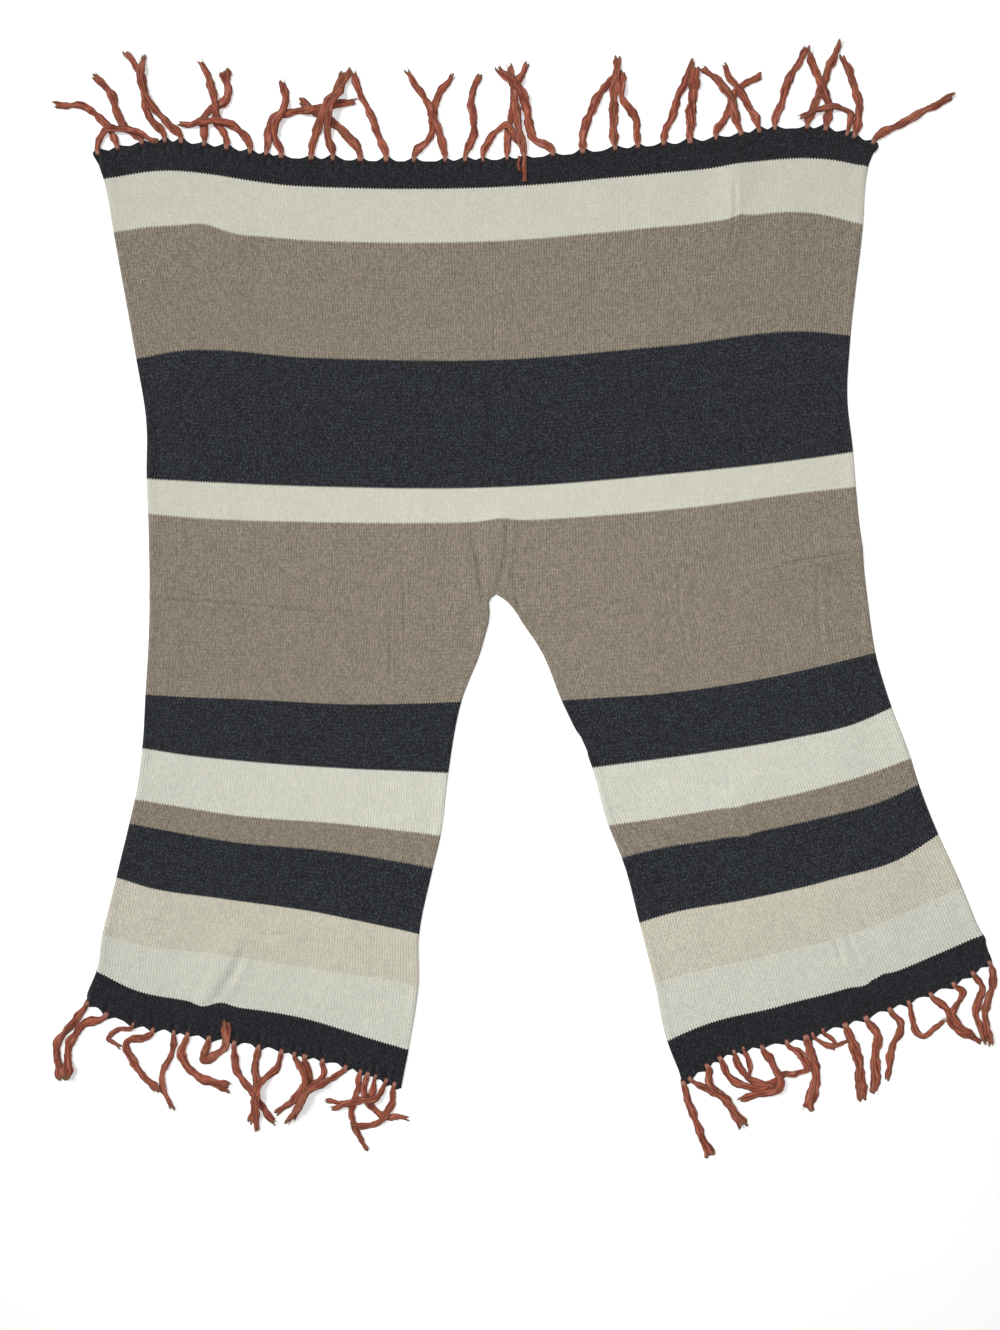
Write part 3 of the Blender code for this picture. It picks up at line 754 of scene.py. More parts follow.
def knitted_wale(wale, course):
    """The wale in the knitting itself, from the wale and course of the sheet's net.

    It is the same on the back. On a front the net's wales spread over those left between
    the slit and the side: of each, slit or side × (1 - exp(-course / reach)) have ended.
    """
    left = np.array(SLANTS["left"], float)[:, None]
    right = np.array(SLANTS["right"], float)[:, None]
    slit, side, reach = np.where(wale < 0, left, right)
    ended = 1 - np.exp(-np.maximum(course, 0) / reach)
    inner = slit * ended
    outer = HALF_WALES - side * ended
    spread = inner + (outer - inner) * np.abs(wale) / HALF_WALES
    return np.where(course > 0, np.sign(wale) * spread, wale)


def drawn_out(wale, course, x, y):
    """y with the hems drawn out towards the tied strands, by scallops × (1 - inside / deep)²."""
    inside = np.where(course < 0, course - BACK_HEM, FRONT_HEM - course)
    share = np.clip(1 - inside / SCALLOP_DEEP, 0, 1) ** 2
    side = np.where(course < 0, 1, -1)
    tied = np.where(
        course < 0,
        scallops(x, BACK_STRANDS),
        np.where(wale < 0, scallops(x, LEFT_STRANDS), scallops(x, RIGHT_STRANDS)),
    )
    return y + side * share * tied


def quads_of(net):
    """Corners of the quads between neighbouring points of a net, facing up."""
    return np.stack([net[1:, :-1], net[1:, 1:], net[:-1, 1:], net[:-1, :-1]], axis=-1).reshape(-1, 4)


def runs_of(path, step):
    """The points of each step of a path, from its first to the next one's first."""
    return np.stack([path[k : len(path) - step + k : step] for k in range(step + 1)], axis=-1)


def joined(fine, coarse, fine_above):
    """Faces between a row of points and one with fewer stations, facing up."""
    runs = runs_of(fine, (len(fine) - 1) // (len(coarse) - 1))
    if fine_above:
        return np.column_stack([coarse[:-1], coarse[1:], runs[:, ::-1]])
    return np.column_stack([coarse[1:], coarse[:-1], runs])


def walls(path, lower, step):
    """Faces from a run of the rim, clockwise from above, down to the underside's rim."""
    runs = runs_of(path, step)
    return np.column_stack([runs, lower[runs[:, -1]], lower[runs[:, 0]]])


def build_cloth(cloth):
    """The sheet of cloth as one closed mesh: a fine face, and a coarser underside."""
    wale, course, x, y, edge, patches = cloth_grid()
    y = drawn_out(wale, course, x, y)
    x, y = tugged(x, y)
    face, under = sheet_surfaces(wale, course, x, y, edge, cloth)

    coarse = [main[::UNDER_STEP, ::UNDER_STEP] for strip, main in patches]
    rims = [strip[[0, -1]] for strip, main in patches]
    used = np.unique(np.concatenate([net.ravel() for net in (*coarse, *rims)]))
    lower = np.full(len(x), -1)
    lower[used] = len(x) + np.arange(len(used))
    points = np.concatenate([placed(x, y, face), placed(x[used], y[used], under[used])])
    knit = np.column_stack([knitted_wale(wale, course), course]) * MM
    knit = np.concatenate([knit, knit[used]])

    tops = []
    bottoms = []
    for (strip, main), under_main, rim in zip(patches, coarse, rims):
        at_back = strip is patches[0][0]
        inner = strip[-1] if at_back else strip[0]
        beyond = slice(1, None) if at_back else slice(None, -1)
        near = 1 if at_back else -2
        tops += [quads_of(strip), joined(inner, main[near], at_back), quads_of(main[beyond])]
        bottoms += [
            quads_of(lower[rim])[:, ::-1],
            joined(lower[inner], lower[under_main[near]], at_back)[:, ::-1],
            quads_of(lower[under_main[beyond]])[:, ::-1],
        ]
    (back_strip, back), left, right = patches
    deep = len(HEM_ROWS) - 1
    rim = [(back_strip[0], 1), (back_strip[:, -1], deep), (back[:, -1], UNDER_STEP)]
    for strip, main in (right, left):
        rim += [
            (main[:, -1], UNDER_STEP),
            (strip[:, -1], deep),
            (strip[-1, ::-1], 1),
            (strip[::-1, 0], deep),
            (main[::-1, 0], UNDER_STEP),
        ]
    rim += [(back[::-1, 0], UNDER_STEP), (back_strip[::-1, 0], deep)]
    sides = [walls(path, lower, step) for path, step in rim]
    made = mesh_object("poncho_cloth", points, [*bottoms, *tops, *sides], knit)
    wrong_side = np.zeros(len(made.data.polygons), np.int32)
    wrong_side[: sum(map(len, bottoms))] = 1
    made.data.polygons.foreach_set("material_index", wrong_side)
    return made


def linked(name, data):
    """An object at the origin, in the scene."""
    made = bpy.data.objects.new(name, data)
    bpy.context.scene.collection.objects.link(made)
    return made


def mesh_object(name, points, face_sets, uv=None, loop_uv=None, **attributes):
    """An object at the origin from points and sets of faces, with a UV map and attributes.

    uv gives one place for each point, loop_uv one for each corner of the faces in turn.
    """
    mesh = bpy.data.meshes.new(name)
    corners = np.concatenate([faces.ravel() for faces in face_sets]).astype(np.int32)
    sizes = np.concatenate([np.full(len(faces), faces.shape[1]) for faces in face_sets])
    starts = np.append(0, np.cumsum(sizes)[:-1]).astype(np.int32)
    mesh.vertices.add(len(points))
    mesh.vertices.foreach_set("co", np.ascontiguousarray(points, np.float32).ravel())
    mesh.loops.add(len(corners))
    mesh.loops.foreach_set("vertex_index", corners)
    mesh.polygons.add(len(sizes))
    mesh.polygons.foreach_set("loop_start", starts)
    layer = mesh.uv_layers.new(name="UVMap")
    places = uv[corners] if loop_uv is None else loop_uv
    layer.data.foreach_set("uv", np.ascontiguousarray(places, np.float32).ravel())
    for key, values in attributes.items():
        mesh.attributes.new(key, "FLOAT", "POINT").data.foreach_set("value", values)
    mesh.update(calc_edges=True)
    mesh.validate()
    mesh.shade_smooth()
    return linked(name, mesh)


# ---- The fringe's shape ----


def walked_along(way):
    """Length walked up to each point of a way."""
    return np.append(0, np.cumsum(np.hypot(*np.diff(way, axis=0).T)))


def strand_way(strand, hem_x, hem_y, side, at):
    """x and y along a strand: straight out of the cloth, then smoothly through its marks."""
    root = np.array([strand.root, np.interp(strand.root, hem_x, hem_y)])
    chord = np.interp(strand.root + np.array([-HEM_CHORD, HEM_CHORD]), hem_x, hem_y)
    outward = np.array([(chord[0] - chord[1]) / (2 * HEM_CHORD), 1.0]) * side
    outward /= np.hypot(*outward)
    marks = np.array(
        [
            root - outward * ROOT_INSIDE,
            root + outward * STRAND_LEAD,
            root + (strand.x1, strand.y1),
            root + (strand.x2, strand.y2),
            root + (strand.x3, strand.y3),
        ]
    )
    walked = walked_along(marks)
    return smooth(walked, marks, at * walked[-1])


def strand_width(strand, walked, random):
    """Half width along a strand: narrow at the root, full, and its own at the tip.

    It opens from the root on a smooth step, 3 t² - 2 t³, turns into the tip's on a bell, and
    is times one plus three sines, which make it uneven.
    """
    left = walked[-1] - walked
    opened = np.clip(walked / ROOT_LONG, 0, 1)
    share = ROOT_SHARE + (1 - ROOT_SHARE) * opened**2 * (3 - 2 * opened)
    ending = bell(left, TIP_LONG)
    share = share * (1 - ending) + strand.tip * ending
    uneven = np.ones(len(walked))
    for much, beat in WIDTH_WAVES:
        beat = beat * random.uniform(*WIDTH_VARIES)
        uneven += much * np.sin(walked / beat * 2 * np.pi + random.uniform(*PHASES))
    return FULLER * strand.wide / 2 * share * uneven


def strand_heights(way, half, laid, over_cloth, wall):
    """Underside of a strand at each fine step: on the floor, or over what it crosses.

    It is the lowest line that clears what each step needs and is nowhere steeper than the
    slope: the highest of every step's need minus the slope times the length to there.
    """
    walked = walked_along(way)
    need = np.full(len(way), STRAND_LIFT)
    if laid:
        under = np.concatenate(laid)
        gaps = np.hypot(way[:, [0]] - under[:, 0], way[:, [1]] - under[:, 1])
        meets = gaps < STRAND_MEETS * (half[:, None] + under[:, 2])
        need = np.maximum(need, np.where(meets, under[:, 3] + STRAND_CLEAR, 0).max(axis=1))
    on_cloth = over_cloth & (walked > STRAND_OWN) | (walked < HEM_OWN)
    need = np.where(on_cloth, np.maximum(need, wall + STRAND_CLEAR), need)
    drop = STRAND_SLOPE * np.abs(walked[:, None] - walked)
    return (need - drop).max(axis=1)


def tubes(centre, sideways, upward, sides):
    """Points, quads, caps and loop UVs of tubes along centre lines.

    centre, sideways and upward are arrays of tubes by rings by 3, and a ring's points are its
    centre plus cos a times sideways plus sin a times upward. The UV is the share round and
    the length along, in metres.
    """
    count, rings = centre.shape[:2]
    turn = np.arange(sides) / sides
    angle = turn * 2 * np.pi
    ring = np.cos(angle)[:, None] * sideways[:, :, None] + np.sin(angle)[:, None] * upward[:, :, None]
    points = (centre[:, :, None] + ring).reshape(-1, 3)
    number = np.arange(count * rings * sides).reshape(count, rings, sides)
    beside = np.roll(number, -1, axis=2)
    quads = np.stack([number[:, :-1], beside[:, :-1], beside[:, 1:], number[:, 1:]], axis=-1)
    starts = number[:, 0, ::-1].reshape(-1, sides)
    ends = number[:, -1].reshape(-1, sides)

    length = np.zeros((count, rings))
    length[:, 1:] = np.cumsum(np.linalg.norm(np.diff(centre, axis=1), axis=2), axis=1)
    length *= MM
    round_from = np.broadcast_to(turn, (count, rings - 1, sides))
    round_to = round_from + 1 / sides
    low = np.broadcast_to(length[:, :-1, None], round_from.shape)
    high = np.broadcast_to(length[:, 1:, None], round_from.shape)
    corners = ((round_from, low), (round_to, low), (round_to, high), (round_from, high))
    quad_uv = np.stack([np.stack(corner, axis=-1) for corner in corners], axis=-2).reshape(-1, 2)
    cap_round = np.tile(turn, count)
    start_uv = np.column_stack([cap_round, np.zeros(count * sides)])
    end_uv = np.column_stack([cap_round, np.repeat(length[:, -1], sides)])
    return points, quads.reshape(-1, 4), [starts, ends], [quad_uv, start_uv, end_uv]


def along(values, share, whole=False):
    """Values of a strand's fine steps at shares of its length, and straight on past its end.

    Where whole, they are those of the step before each share.
    """
    steps = len(values) - 1
    low = np.minimum((np.clip(share, 0, 1) * steps).astype(int), steps - 1)
    if whole:
        return values[low]
    part = (share * steps - low).reshape(share.shape + (1,) * (values.ndim - 1))
    return values[low] * (1 - part) + values[low + 1] * part


def locks_of(body, random, count):
    """Centre, sideways and upward of the locks that make one strand, rings along the strand.

    The first is its core, a flat oval. The others lie round it, each on its own slowly
    turning angle, and towards the tip they part and end at lengths of their own.
    """
    lengths = np.append(CORE_END, random.uniform(*LOCK_ENDS, count))
    share = np.linspace(0, 1, RINGS) * lengths[:, None]
    centre = along(body["middle"], share)
    sideways = along(body["sideways"], share)
    half = np.maximum(along(body["half"], share), THINNEST[0])
    high = np.maximum(along(body["high"], share), THINNEST[1])
    one_each = (count, 1)
    turn = np.linspace(0, 2 * np.pi, count, endpoint=False)[:, None]
    turn = turn + random.uniform(*LOCK_ASIDE, one_each) + random.uniform(*LOCK_TURNS) * share[1:]
    turn = turn + LOCK_WAVE * np.sin(share[1:] * random.uniform(*LOCK_BEATS, one_each) + turn)
    part = 1 + random.uniform(*LOCK_PARTS, one_each) * bell(1 - share[1:], PART_LONG)
    off = np.zeros(half.shape + (2,))
    off[1:, :, 0] = LOCK_OUT * np.cos(turn) * part
    off[1:, :, 1] = LOCK_UP * np.sin(turn)
    centre = centre + sideways * (half * off[..., 0])[..., None]
    centre[..., 2] += high * off[..., 1]

    size = np.full(half.shape, LOCK_SIZE)
    size[0] = CORE_SIZE
    size[1:] *= random.uniform(*LOCK_VARIES, one_each)
    # a lock swells out of its root, and runs out to a wisp over its last few millimetres
    ending = 1 - np.linspace(0, 1, RINGS)
    wisp = np.clip(ending / WISP_LONG, 0, 1)
    size = size * (WISP_END + (1 - WISP_END) * np.sqrt(wisp * (2 - wisp)))
    starting = np.clip((1 - ending) / SWELL_LONG, 0, 1)
    size = size * (0.5 + 0.5 * starting)
    centre[..., 2] = np.maximum(centre[..., 2], high * size + FLOOR_GAP)
    wide = sideways * (half * size)[..., None]
    upward = np.zeros(half.shape + (3,))
    upward[..., 2] = high * size
    return centre, wide, upward, np.clip(share, 0, 1)


def hairs_of(body, random, count):
    """The same for the loose fibres that leave a strand's sides and its tip.

    Over its run, t from 0 to 1, each moves away sideways by out t² plus a small sine, and
    rises by rise t.
    """
    one_each = (count, 1)
    start = random.uniform(*HAIR_START, one_each)
    at_tip = random.uniform(0, 1, one_each) < TIP_HAIRS
    start = np.where(at_tip, random.uniform(*TIP_HAIR_START, one_each), start)
    run = np.where(at_tip, TIP_HAIR_RUN, random.uniform(*HAIR_RUN, one_each))
    t = np.linspace(0, 1, HAIR_RINGS)
    share = start + run * t
    centre = along(body["middle"], share)
    sideways = along(body["sideways"], share, whole=True)
    half = along(body["half"], share, whole=True)
    side = random.choice([-1.0, 1.0], one_each)
    out = random.uniform(*HAIR_OUT, one_each) * t**2
    wave = random.uniform(*HAIR_WAVE, one_each)
    out = out + wave * np.sin(t * random.uniform(*HAIR_BEATS, one_each))
    reach = side * (half * random.uniform(*HAIR_INSIDE, one_each) + out)
    centre = centre + sideways * reach[..., None]
    rise = random.uniform(*HAIR_RISE, one_each) * t
    centre[..., 2] = np.maximum(centre[..., 2] + rise, 2 * HAIR_HALF + HAIR_LIFT)
    thin = HAIR_HALF * (HAIR_TAPER[0] - HAIR_TAPER[1] * t)[:, None]
    upward = np.zeros(centre.shape)
    upward[..., 2] = 1.0
    return centre, sideways * thin, upward * thin, np.clip(share, 0, 1)


def strand_body(strand, hem, side, laid, random, settings, wall, over=False):
    """One strand laid over the ones before it: its middle, sides, half width and half height.

    Two sines sway its way to its sides. Its half height is that of the settings times the
    root of its width's share of the full one.
    """
    hem_x, hem_y = hem
    fine = np.linspace(0, 1, FINE_STEPS + 1)
    way = strand_way(strand, hem_x, hem_y, side, fine)
    tangent = np.gradient(way, axis=0)
    tangent /= np.hypot(*tangent.T)[:, None]
    sideways = np.column_stack([tangent[:, 1], -tangent[:, 0]])
    walked = walked_along(way)
    sway = np.zeros(len(walked))
    for much, beats in SWAY_WAVES:
        sway += much * np.sin(walked / random.uniform(*beats) + random.uniform(*PHASES))
    sway = SWAY_WIDE * sway * np.clip((walked - SWAY_START) / SWAY_EASE, 0, 1)
    way = way + sideways * sway[:, None]
    half = strand_width(strand, walked, random)
    flat = settings.strand_height / MM / 2
    much, beat = HEIGHT_WAVE
    high = flat * np.sqrt(half / (FULLER * strand.wide / 2)) * (1 + much * np.sin(walked / beat))
    inside = (np.interp(way[:, 0], hem_x, hem_y) - way[:, 1]) * side + half > 0
    within = (way[:, 0] > hem_x[0] - half) & (way[:, 0] < hem_x[-1] + half)
    covers = np.ones(len(way), bool) if over else inside & within
    under = strand_heights(way, half, laid, covers, wall + (TAIL_RAISED if over else 0))
    middle = under + high
    laid.append(np.column_stack([way, half, under + STRAND_PRESSED * high]))
    middle = middle - ROOT_DIVE * bell(walked, ROOT_DIVE_LONG)
    return {
        "middle": np.column_stack([way, middle]),
        "sideways": np.column_stack([sideways, np.zeros(len(way))]),
        "half": half,
        "high": high,
    }


def build_strands(name, half, strands, settings, wall, seed, tails=()):
    """The strands of one hem as one mesh: locks of roving and loose fibres."""
    random = np.random.default_rng(seed)
    hem = hem_of(half)
    side = 1 if half == "back" else -1
    laid = []
    bodies = [strand_body(strand, hem, side, laid, random, settings, wall) for strand in strands]
    for tail in tails:
        bodies.append(strand_body(tail, hem, -side, [], random, settings, wall, over=True))
    groups = {CORE_SIDES: [], LOCK_SIDES: [], HAIR_SIDES: []}
    for body in bodies:
        locks = locks_of(body, random, settings.locks)
        columns = (*locks, random.uniform(0, 1, len(locks[0])))
        groups[CORE_SIDES].append([column[:1] for column in columns])
        groups[LOCK_SIDES].append([column[1:] for column in columns])
        hairs = hairs_of(body, random, settings.hairs)
        groups[HAIR_SIDES].append((*hairs, random.uniform(0, 1, settings.hairs)))

    points = []
    faces = []
    uvs = []
    shares = []
    tones = []
    for sides, rows in groups.items():
        centre, wide, upward, share, tone = (np.concatenate(column) for column in zip(*rows))
        some, quads, caps, uv = tubes(centre, wide, upward, sides)
        before = sum(map(len, points))
        points.append(some)
        faces += [quads + before, caps[0] + before, caps[1] + before]
        uvs += uv
        shares.append(np.repeat(share.ravel(), sides))
        tones.append(np.repeat(tone, centre.shape[1] * sides))
    return mesh_object(
        name,
        placed(*np.concatenate(points).T),
        faces,
        loop_uv=np.concatenate(uvs),
        share=np.concatenate(shares).astype(np.float32),
        tone=np.concatenate(tones).astype(np.float32),
    )


# ---- Shader node groups ----

# Noise in the wool, in blobs a metre: across the wales and along them, or for roving round
# a lock, twice, and along it. The last column is how many finer layers it has.
Noise = namedtuple("Noise", "scale detail")
SWAY_NOISE = Noise((24.0, 12.0, 1.0), 1.0)
FLECK_NOISE = Noise((420.0, 380.0, 1.0), 2.0)
SPECKLE_NOISE = Noise((520.0, 560.0, 1.0), 1.0)
BLOTCH_NOISE = Noise((55.0, 70.0, 1.0), 2.5)
FUZZ_NOISE = Noise((1500.0, 420.0, 700.0), 3.0)
CROSSED_FUZZ_NOISE = Noise((380.0, 1400.0, 900.0), 3.0)
STREAK_NOISE = Noise((1.1, 1.1, 42.0), 3.0)
PATCH_NOISE = Noise((0.25, 0.25, 45.0), 2.0)
FLOOR_NOISE = Noise((3.0, 3.0, 3.0), 3.0)
GRAIN_NOISE = Noise((500.0, 500.0, 500.0), 2.0)

ROWS_DIFFER = 0.20  # share of the chance that only every other row has
PURL_STAGGER = 0.22  # courses that the bumps of a row stand above and below its line
FLECK_SPOTS = (0.54, 0.78)  # noise from which a fleck begins, and where it is full
FLECK_CHANCE = 0.16  # how much a leg's own chance adds to that noise
SPECKLE_STRENGTH = 2.3
LEG_STRENGTH = 1.9
BLOTCH_STRENGTH = 4.0
MEAN_HEIGHT = 0.62  # of the stitches
LEAST_LIGHT = 0.15
FUZZ_SHARE = 0.5  # height of the fuzz, of the stitches'
LOCKS_APART = 37.0  # how far apart the locks' own places in the noise lie
LOCK_ROUND = 1.6  # half width of a lock there
NODES_ACROSS = 12  # layout of the node trees
NODE_WIDE = 190
NODE_HIGH = 260
FLOOR_CLOUDS = (0.35, 0.7)  # noise from which the floor turns duller, and where it is so
DULLER = 0.97


class Graph:
    """Adds nodes to one tree. A value given for an input is a socket to link, or a constant."""

    def __init__(self, tree):
        self.tree = tree

    def wire(self, socket, value):
        if isinstance(value, bpy.types.NodeSocket):
            self.tree.links.new(value, socket)
        else:
            socket.default_value = value

    def add(self, kind, inputs, **settings):
        made = self.tree.nodes.new(kind)
        row, column = divmod(len(self.tree.nodes), NODES_ACROSS)
        made.location = (NODE_WIDE * column, -NODE_HIGH * row)
        for key, value in settings.items():
            setattr(made, key, value)
        for key, value in inputs.items():
            self.wire(made.inputs[key], value)
        return made

    def group(self, tree, **inputs):
        titled = {key.replace("_", " ").title(): value for key, value in inputs.items()}
        return self.add("ShaderNodeGroup", titled, node_tree=tree).outputs

    def math(self, operation, *values):
        return self.add("ShaderNodeMath", dict(enumerate(values)), operation=operation).outputs[0]

    def plus(self, first, second):
        return self.math("ADD", first, second)

    def less(self, first, second):
        return self.math("SUBTRACT", first, second)

    def times(self, first, second):
        return self.math("MULTIPLY", first, second)

    def between(self, value, low, high):
        """0 below low, 1 above high, and smooth between."""
        inputs = {"Value": value, "From Min": low, "From Max": high}
        made = self.add("ShaderNodeMapRange", inputs, interpolation_type="SMOOTHSTEP")
        return made.outputs["Result"]

    def mix(self, factor, first, second):
        inputs = {0: factor, 6: first, 7: second}
        return self.add("ShaderNodeMix", inputs, data_type="RGBA").outputs[2]

    def noise(self, vector, kind):
        """Noise, 0 to 1 about a half, with the blobs and the finer layers of its kind."""
        inputs = {0: vector, 1: kind.scale}
        place = self.add("ShaderNodeVectorMath", inputs, operation="MULTIPLY").outputs[0]
        inputs = {"Vector": place, "Scale": 1.0, "Detail": kind.detail}
        return self.add("ShaderNodeTexNoise", inputs).outputs[0]

    def chance(self, column, row):
        """A number of its own, 0 to 1, for each whole column and row."""
        cell = self.add("ShaderNodeCombineXYZ", {0: column, 1: row}).outputs[0]
        made = self.add("ShaderNodeTexWhiteNoise", {0: cell}, noise_dimensions="2D")
        return made.outputs["Value"]

    def bump(self, shader, height, strength, distance):
        """Gives a shader relief: its height in metres is the height times the distance."""
        inputs = {"Height": height, "Strength": strength, "Distance": distance}
        self.wire(shader.inputs["Normal"], self.add("ShaderNodeBump", inputs).outputs[0])


def new_group(name, inputs, outputs):
    """An empty shader group with its sockets: (graph, its inputs, a function to link an output).

    Inputs and outputs are titles, with _ for a space. A vector and the colours have a kind of
    socket of their own, and all the others are numbers.
    """
    tree = bpy.data.node_groups.new(name, "ShaderNodeTree")
    kinds = {"Vector": "Vector", "Base": "Color", "Fleck": "Color", "Color": "Color"}
    for direction, titles in (("INPUT", inputs), ("OUTPUT", outputs)):
        for title in titles.split():
            kind = "NodeSocket" + kinds.get(title, "Float")
            title = title.replace("_", " ")
            tree.interface.new_socket(name=title, in_out=direction, socket_type=kind)
    graph = Graph(tree)
    entry = tree.nodes.new("NodeGroupInput")
    leave = tree.nodes.new("NodeGroupOutput")

    def give(title, socket):
        tree.links.new(socket, leave.inputs[title])

    return graph, entry.outputs, give


def stitch_group():
    """Stockinette's face: each wale is a column of V stitches, one to a course.

    Across a wale, m runs from 0 at its middle to 1 at its side. A leg of a V slants up by the
    slant times m. Its height is the root of sin(pi p) sin(pi (0.25 + 0.75 m)), p the place
    within its course, so the furrow between two wales is the deeper one. Every other course
    is a shade lighter in chance, as where two balls of yarn are knitted in turn. The wales
    don't run dead straight: soft noise moves each place across them by part of the sway.
    """
    graph, inputs, give = new_group(
        "knit_stitches", "Vector Wale Course Slant Sway", "Height Course_Place Chance"
    )
    parts = graph.add("ShaderNodeSeparateXYZ", {0: inputs["Vector"]}).outputs
    sway = graph.less(graph.noise(inputs["Vector"], SWAY_NOISE), 0.5)
    across_cloth = graph.math("MULTIPLY_ADD", sway, inputs["Sway"], parts[0])
    wale = graph.math("DIVIDE", across_cloth, inputs["Wale"])
    side = graph.times(graph.math("PINGPONG", wale, 0.5), 2.0)
    course = graph.math("DIVIDE", parts[1], inputs["Course"])
    course = graph.plus(course, graph.times(side, inputs["Slant"]))
    leg = graph.math("SINE", graph.times(graph.math("FRACT", course), np.pi))
    across = graph.math("MULTIPLY_ADD", side, 0.75 * np.pi, 0.25 * np.pi)
    across = graph.math("MAXIMUM", graph.math("SINE", across), 0.0)
    give("Height", graph.math("SQRT", graph.times(leg, across)))
    row = graph.math("FLOOR", course)
    give("Course Place", graph.times(row, inputs["Course"]))
    chance = graph.chance(graph.math("FLOOR", graph.times(wale, 2.0)), row)
    chance = graph.times(chance, 1.0 - ROWS_DIFFER)
    every_other = graph.math("PINGPONG", row, 1.0)
    give("Chance", graph.plus(chance, graph.times(every_other, ROWS_DIFFER)))
    return graph.tree


def purl_group():
    """Stockinette's wrong side: rows of rounded bumps, two to a wale, staggered by rows."""
    graph, inputs, give = new_group(
        "purl_bumps", "Vector Wale Course", "Height Course_Place Chance"
    )
    parts = graph.add("ShaderNodeSeparateXYZ", {0: inputs["Vector"]}).outputs
    wale = graph.math("DIVIDE", parts[0], inputs["Wale"])
    wave = graph.math("SINE", graph.times(wale, 2 * np.pi))
    course = graph.math("DIVIDE", parts[1], inputs["Course"])
    course = graph.plus(course, graph.times(wave, PURL_STAGGER))
    row = graph.math("FLOOR", course)
    ridge = graph.math("SINE", graph.times(graph.math("FRACT", course), np.pi))
    bump = graph.plus(graph.times(graph.math("ABSOLUTE", wave), 0.5), 0.5)
    give("Height", graph.math("SQRT", graph.times(ridge, bump)))
    give("Course Place", graph.times(row, inputs["Course"]))
    give("Chance", graph.chance(graph.math("FLOOR", wale), row))
    return graph.tree


def yarn_group():
    """Colour of one heathered yarn over the knitting.

    Its base takes on the fleck's colour in small spots. It is then made lighter and darker by
    speckles, leg by leg, and by soft blotches; and painted shade darkens each furrow between the
    legs and wales, while painted light brightens the legs' raised tops.
    """
    graph, inputs, give = new_group(
        "heathered_yarn",
        "Vector Height Chance Base Fleck Flecks Furrows Speckles Blotches",
        "Color",
    )
    vector = inputs["Vector"]
    spots = graph.noise(vector, FLECK_NOISE)
    spots = graph.plus(spots, graph.times(inputs["Chance"], FLECK_CHANCE))
    spots = graph.times(graph.between(spots, *FLECK_SPOTS), inputs["Flecks"])
    colour = graph.mix(spots, inputs["Base"], inputs["Fleck"])
    speckles = graph.less(graph.noise(vector, SPECKLE_NOISE), 0.5)
    chance = graph.times(graph.less(inputs["Chance"], 0.5), LEG_STRENGTH)
    speckles = graph.plus(graph.times(speckles, SPECKLE_STRENGTH), chance)
    speckles = graph.times(speckles, inputs["Speckles"])
    blotches = graph.less(graph.noise(vector, BLOTCH_NOISE), 0.5)
    blotches = graph.times(graph.times(blotches, BLOTCH_STRENGTH), inputs["Blotches"])
    # painted shade below the stitches' mean height, in each furrow, and painted light on their tops
    furrowshade = graph.times(graph.less(inputs["Height"], MEAN_HEIGHT), inputs["Furrows"])
    light = graph.plus(furrowshade, graph.plus(speckles, blotches))
    light = graph.math("MAXIMUM", graph.plus(light, 1.0), LEAST_LIGHT)
    shade = graph.add("ShaderNodeVectorMath", {0: colour, "Scale": light}, operation="SCALE")
    give("Color", shade.outputs[0])
    return graph.tree


def fuzz_group():
    """Height of fine loose fibres over wool: short crossing streaks in two directions."""
    graph, inputs, give = new_group("wool_fuzz", "Vector", "Height")
    first = graph.noise(inputs["Vector"], FUZZ_NOISE)
    second = graph.noise(inputs["Vector"], CROSSED_FUZZ_NOISE)
    give("Height", graph.times(graph.plus(first, second), 0.5))
    return graph.tree


def fibre_group():
    """Streaks of roving: long thin noise along each lock, and a coarser one lock by lock."""
    graph, inputs, give = new_group("roving_fibres", "Vector Tone", "Streak Patch")
    parts = graph.add("ShaderNodeSeparateXYZ", {0: inputs["Vector"]}).outputs
    own = graph.times(inputs["Tone"], LOCKS_APART)
    turned = graph.times(parts[0], 2 * np.pi)
    place = {2: parts[1]}
    for axis, wave in enumerate(("COSINE", "SINE")):
        place[axis] = graph.plus(graph.times(graph.math(wave, turned), LOCK_ROUND), own)
    place = graph.add("ShaderNodeCombineXYZ", place).outputs[0]
    give("Streak", graph.noise(place, STREAK_NOISE))
    give("Patch", graph.noise(place, PATCH_NOISE))
    return graph.tree


# ---- Materials ----


def new_material(name, rough, specular, sheen=0.0, sheen_rough=0.5):
    """A material with its graph and Principled shader, whose constant sockets are set here."""
    made = bpy.data.materials.new(name)
    made.use_nodes = True
    shader = made.node_tree.nodes["Principled BSDF"]
    shader.inputs["Roughness"].default_value = rough
    shader.inputs["Specular IOR Level"].default_value = specular
    shader.inputs["Sheen Weight"].default_value = sheen
    shader.inputs["Sheen Roughness"].default_value = sheen_rough
    return made, Graph(made.node_tree), shader


def colour_of(value):
    return (*value, 1.0)


# flecks: how far the spots take on the fleck's colour. furrow shade (the fourth): how much
# painted shade darkens each furrow and painted light brightens the stitches' tops. speckles,
# blotches: how much each lightens and darkens the yarn. relief: height of its stitches, as a
# share of the full.
Yarn = namedtuple("Yarn", "base fleck flecks furrows speckles blotches relief")
YARNS = {
    "hem": Yarn("hem", "charcoal_fleck", 0.30, 0.50, 0.36, 0.06, 1.0),
    "charcoal": Yarn("charcoal", "charcoal_fleck", 0.55, 0.50, 0.34, 0.16, 1.0),
    "taupe": Yarn("taupe", "taupe_fleck", 0.35, 0.85, 0.30, 0.03, 1.0),
    "tan": Yarn("tan", "cream_fleck", 0.30, 0.68, 0.13, 0.04, 1.0),
    "cream": Yarn("cream", "cream_fleck", 0.30, 0.10, 0.06, 0.025, 0.45),
    "open cream": Yarn("open_cream", "cream_fleck", 0.30, 0.60, 0.10, 0.03, 0.9),
}


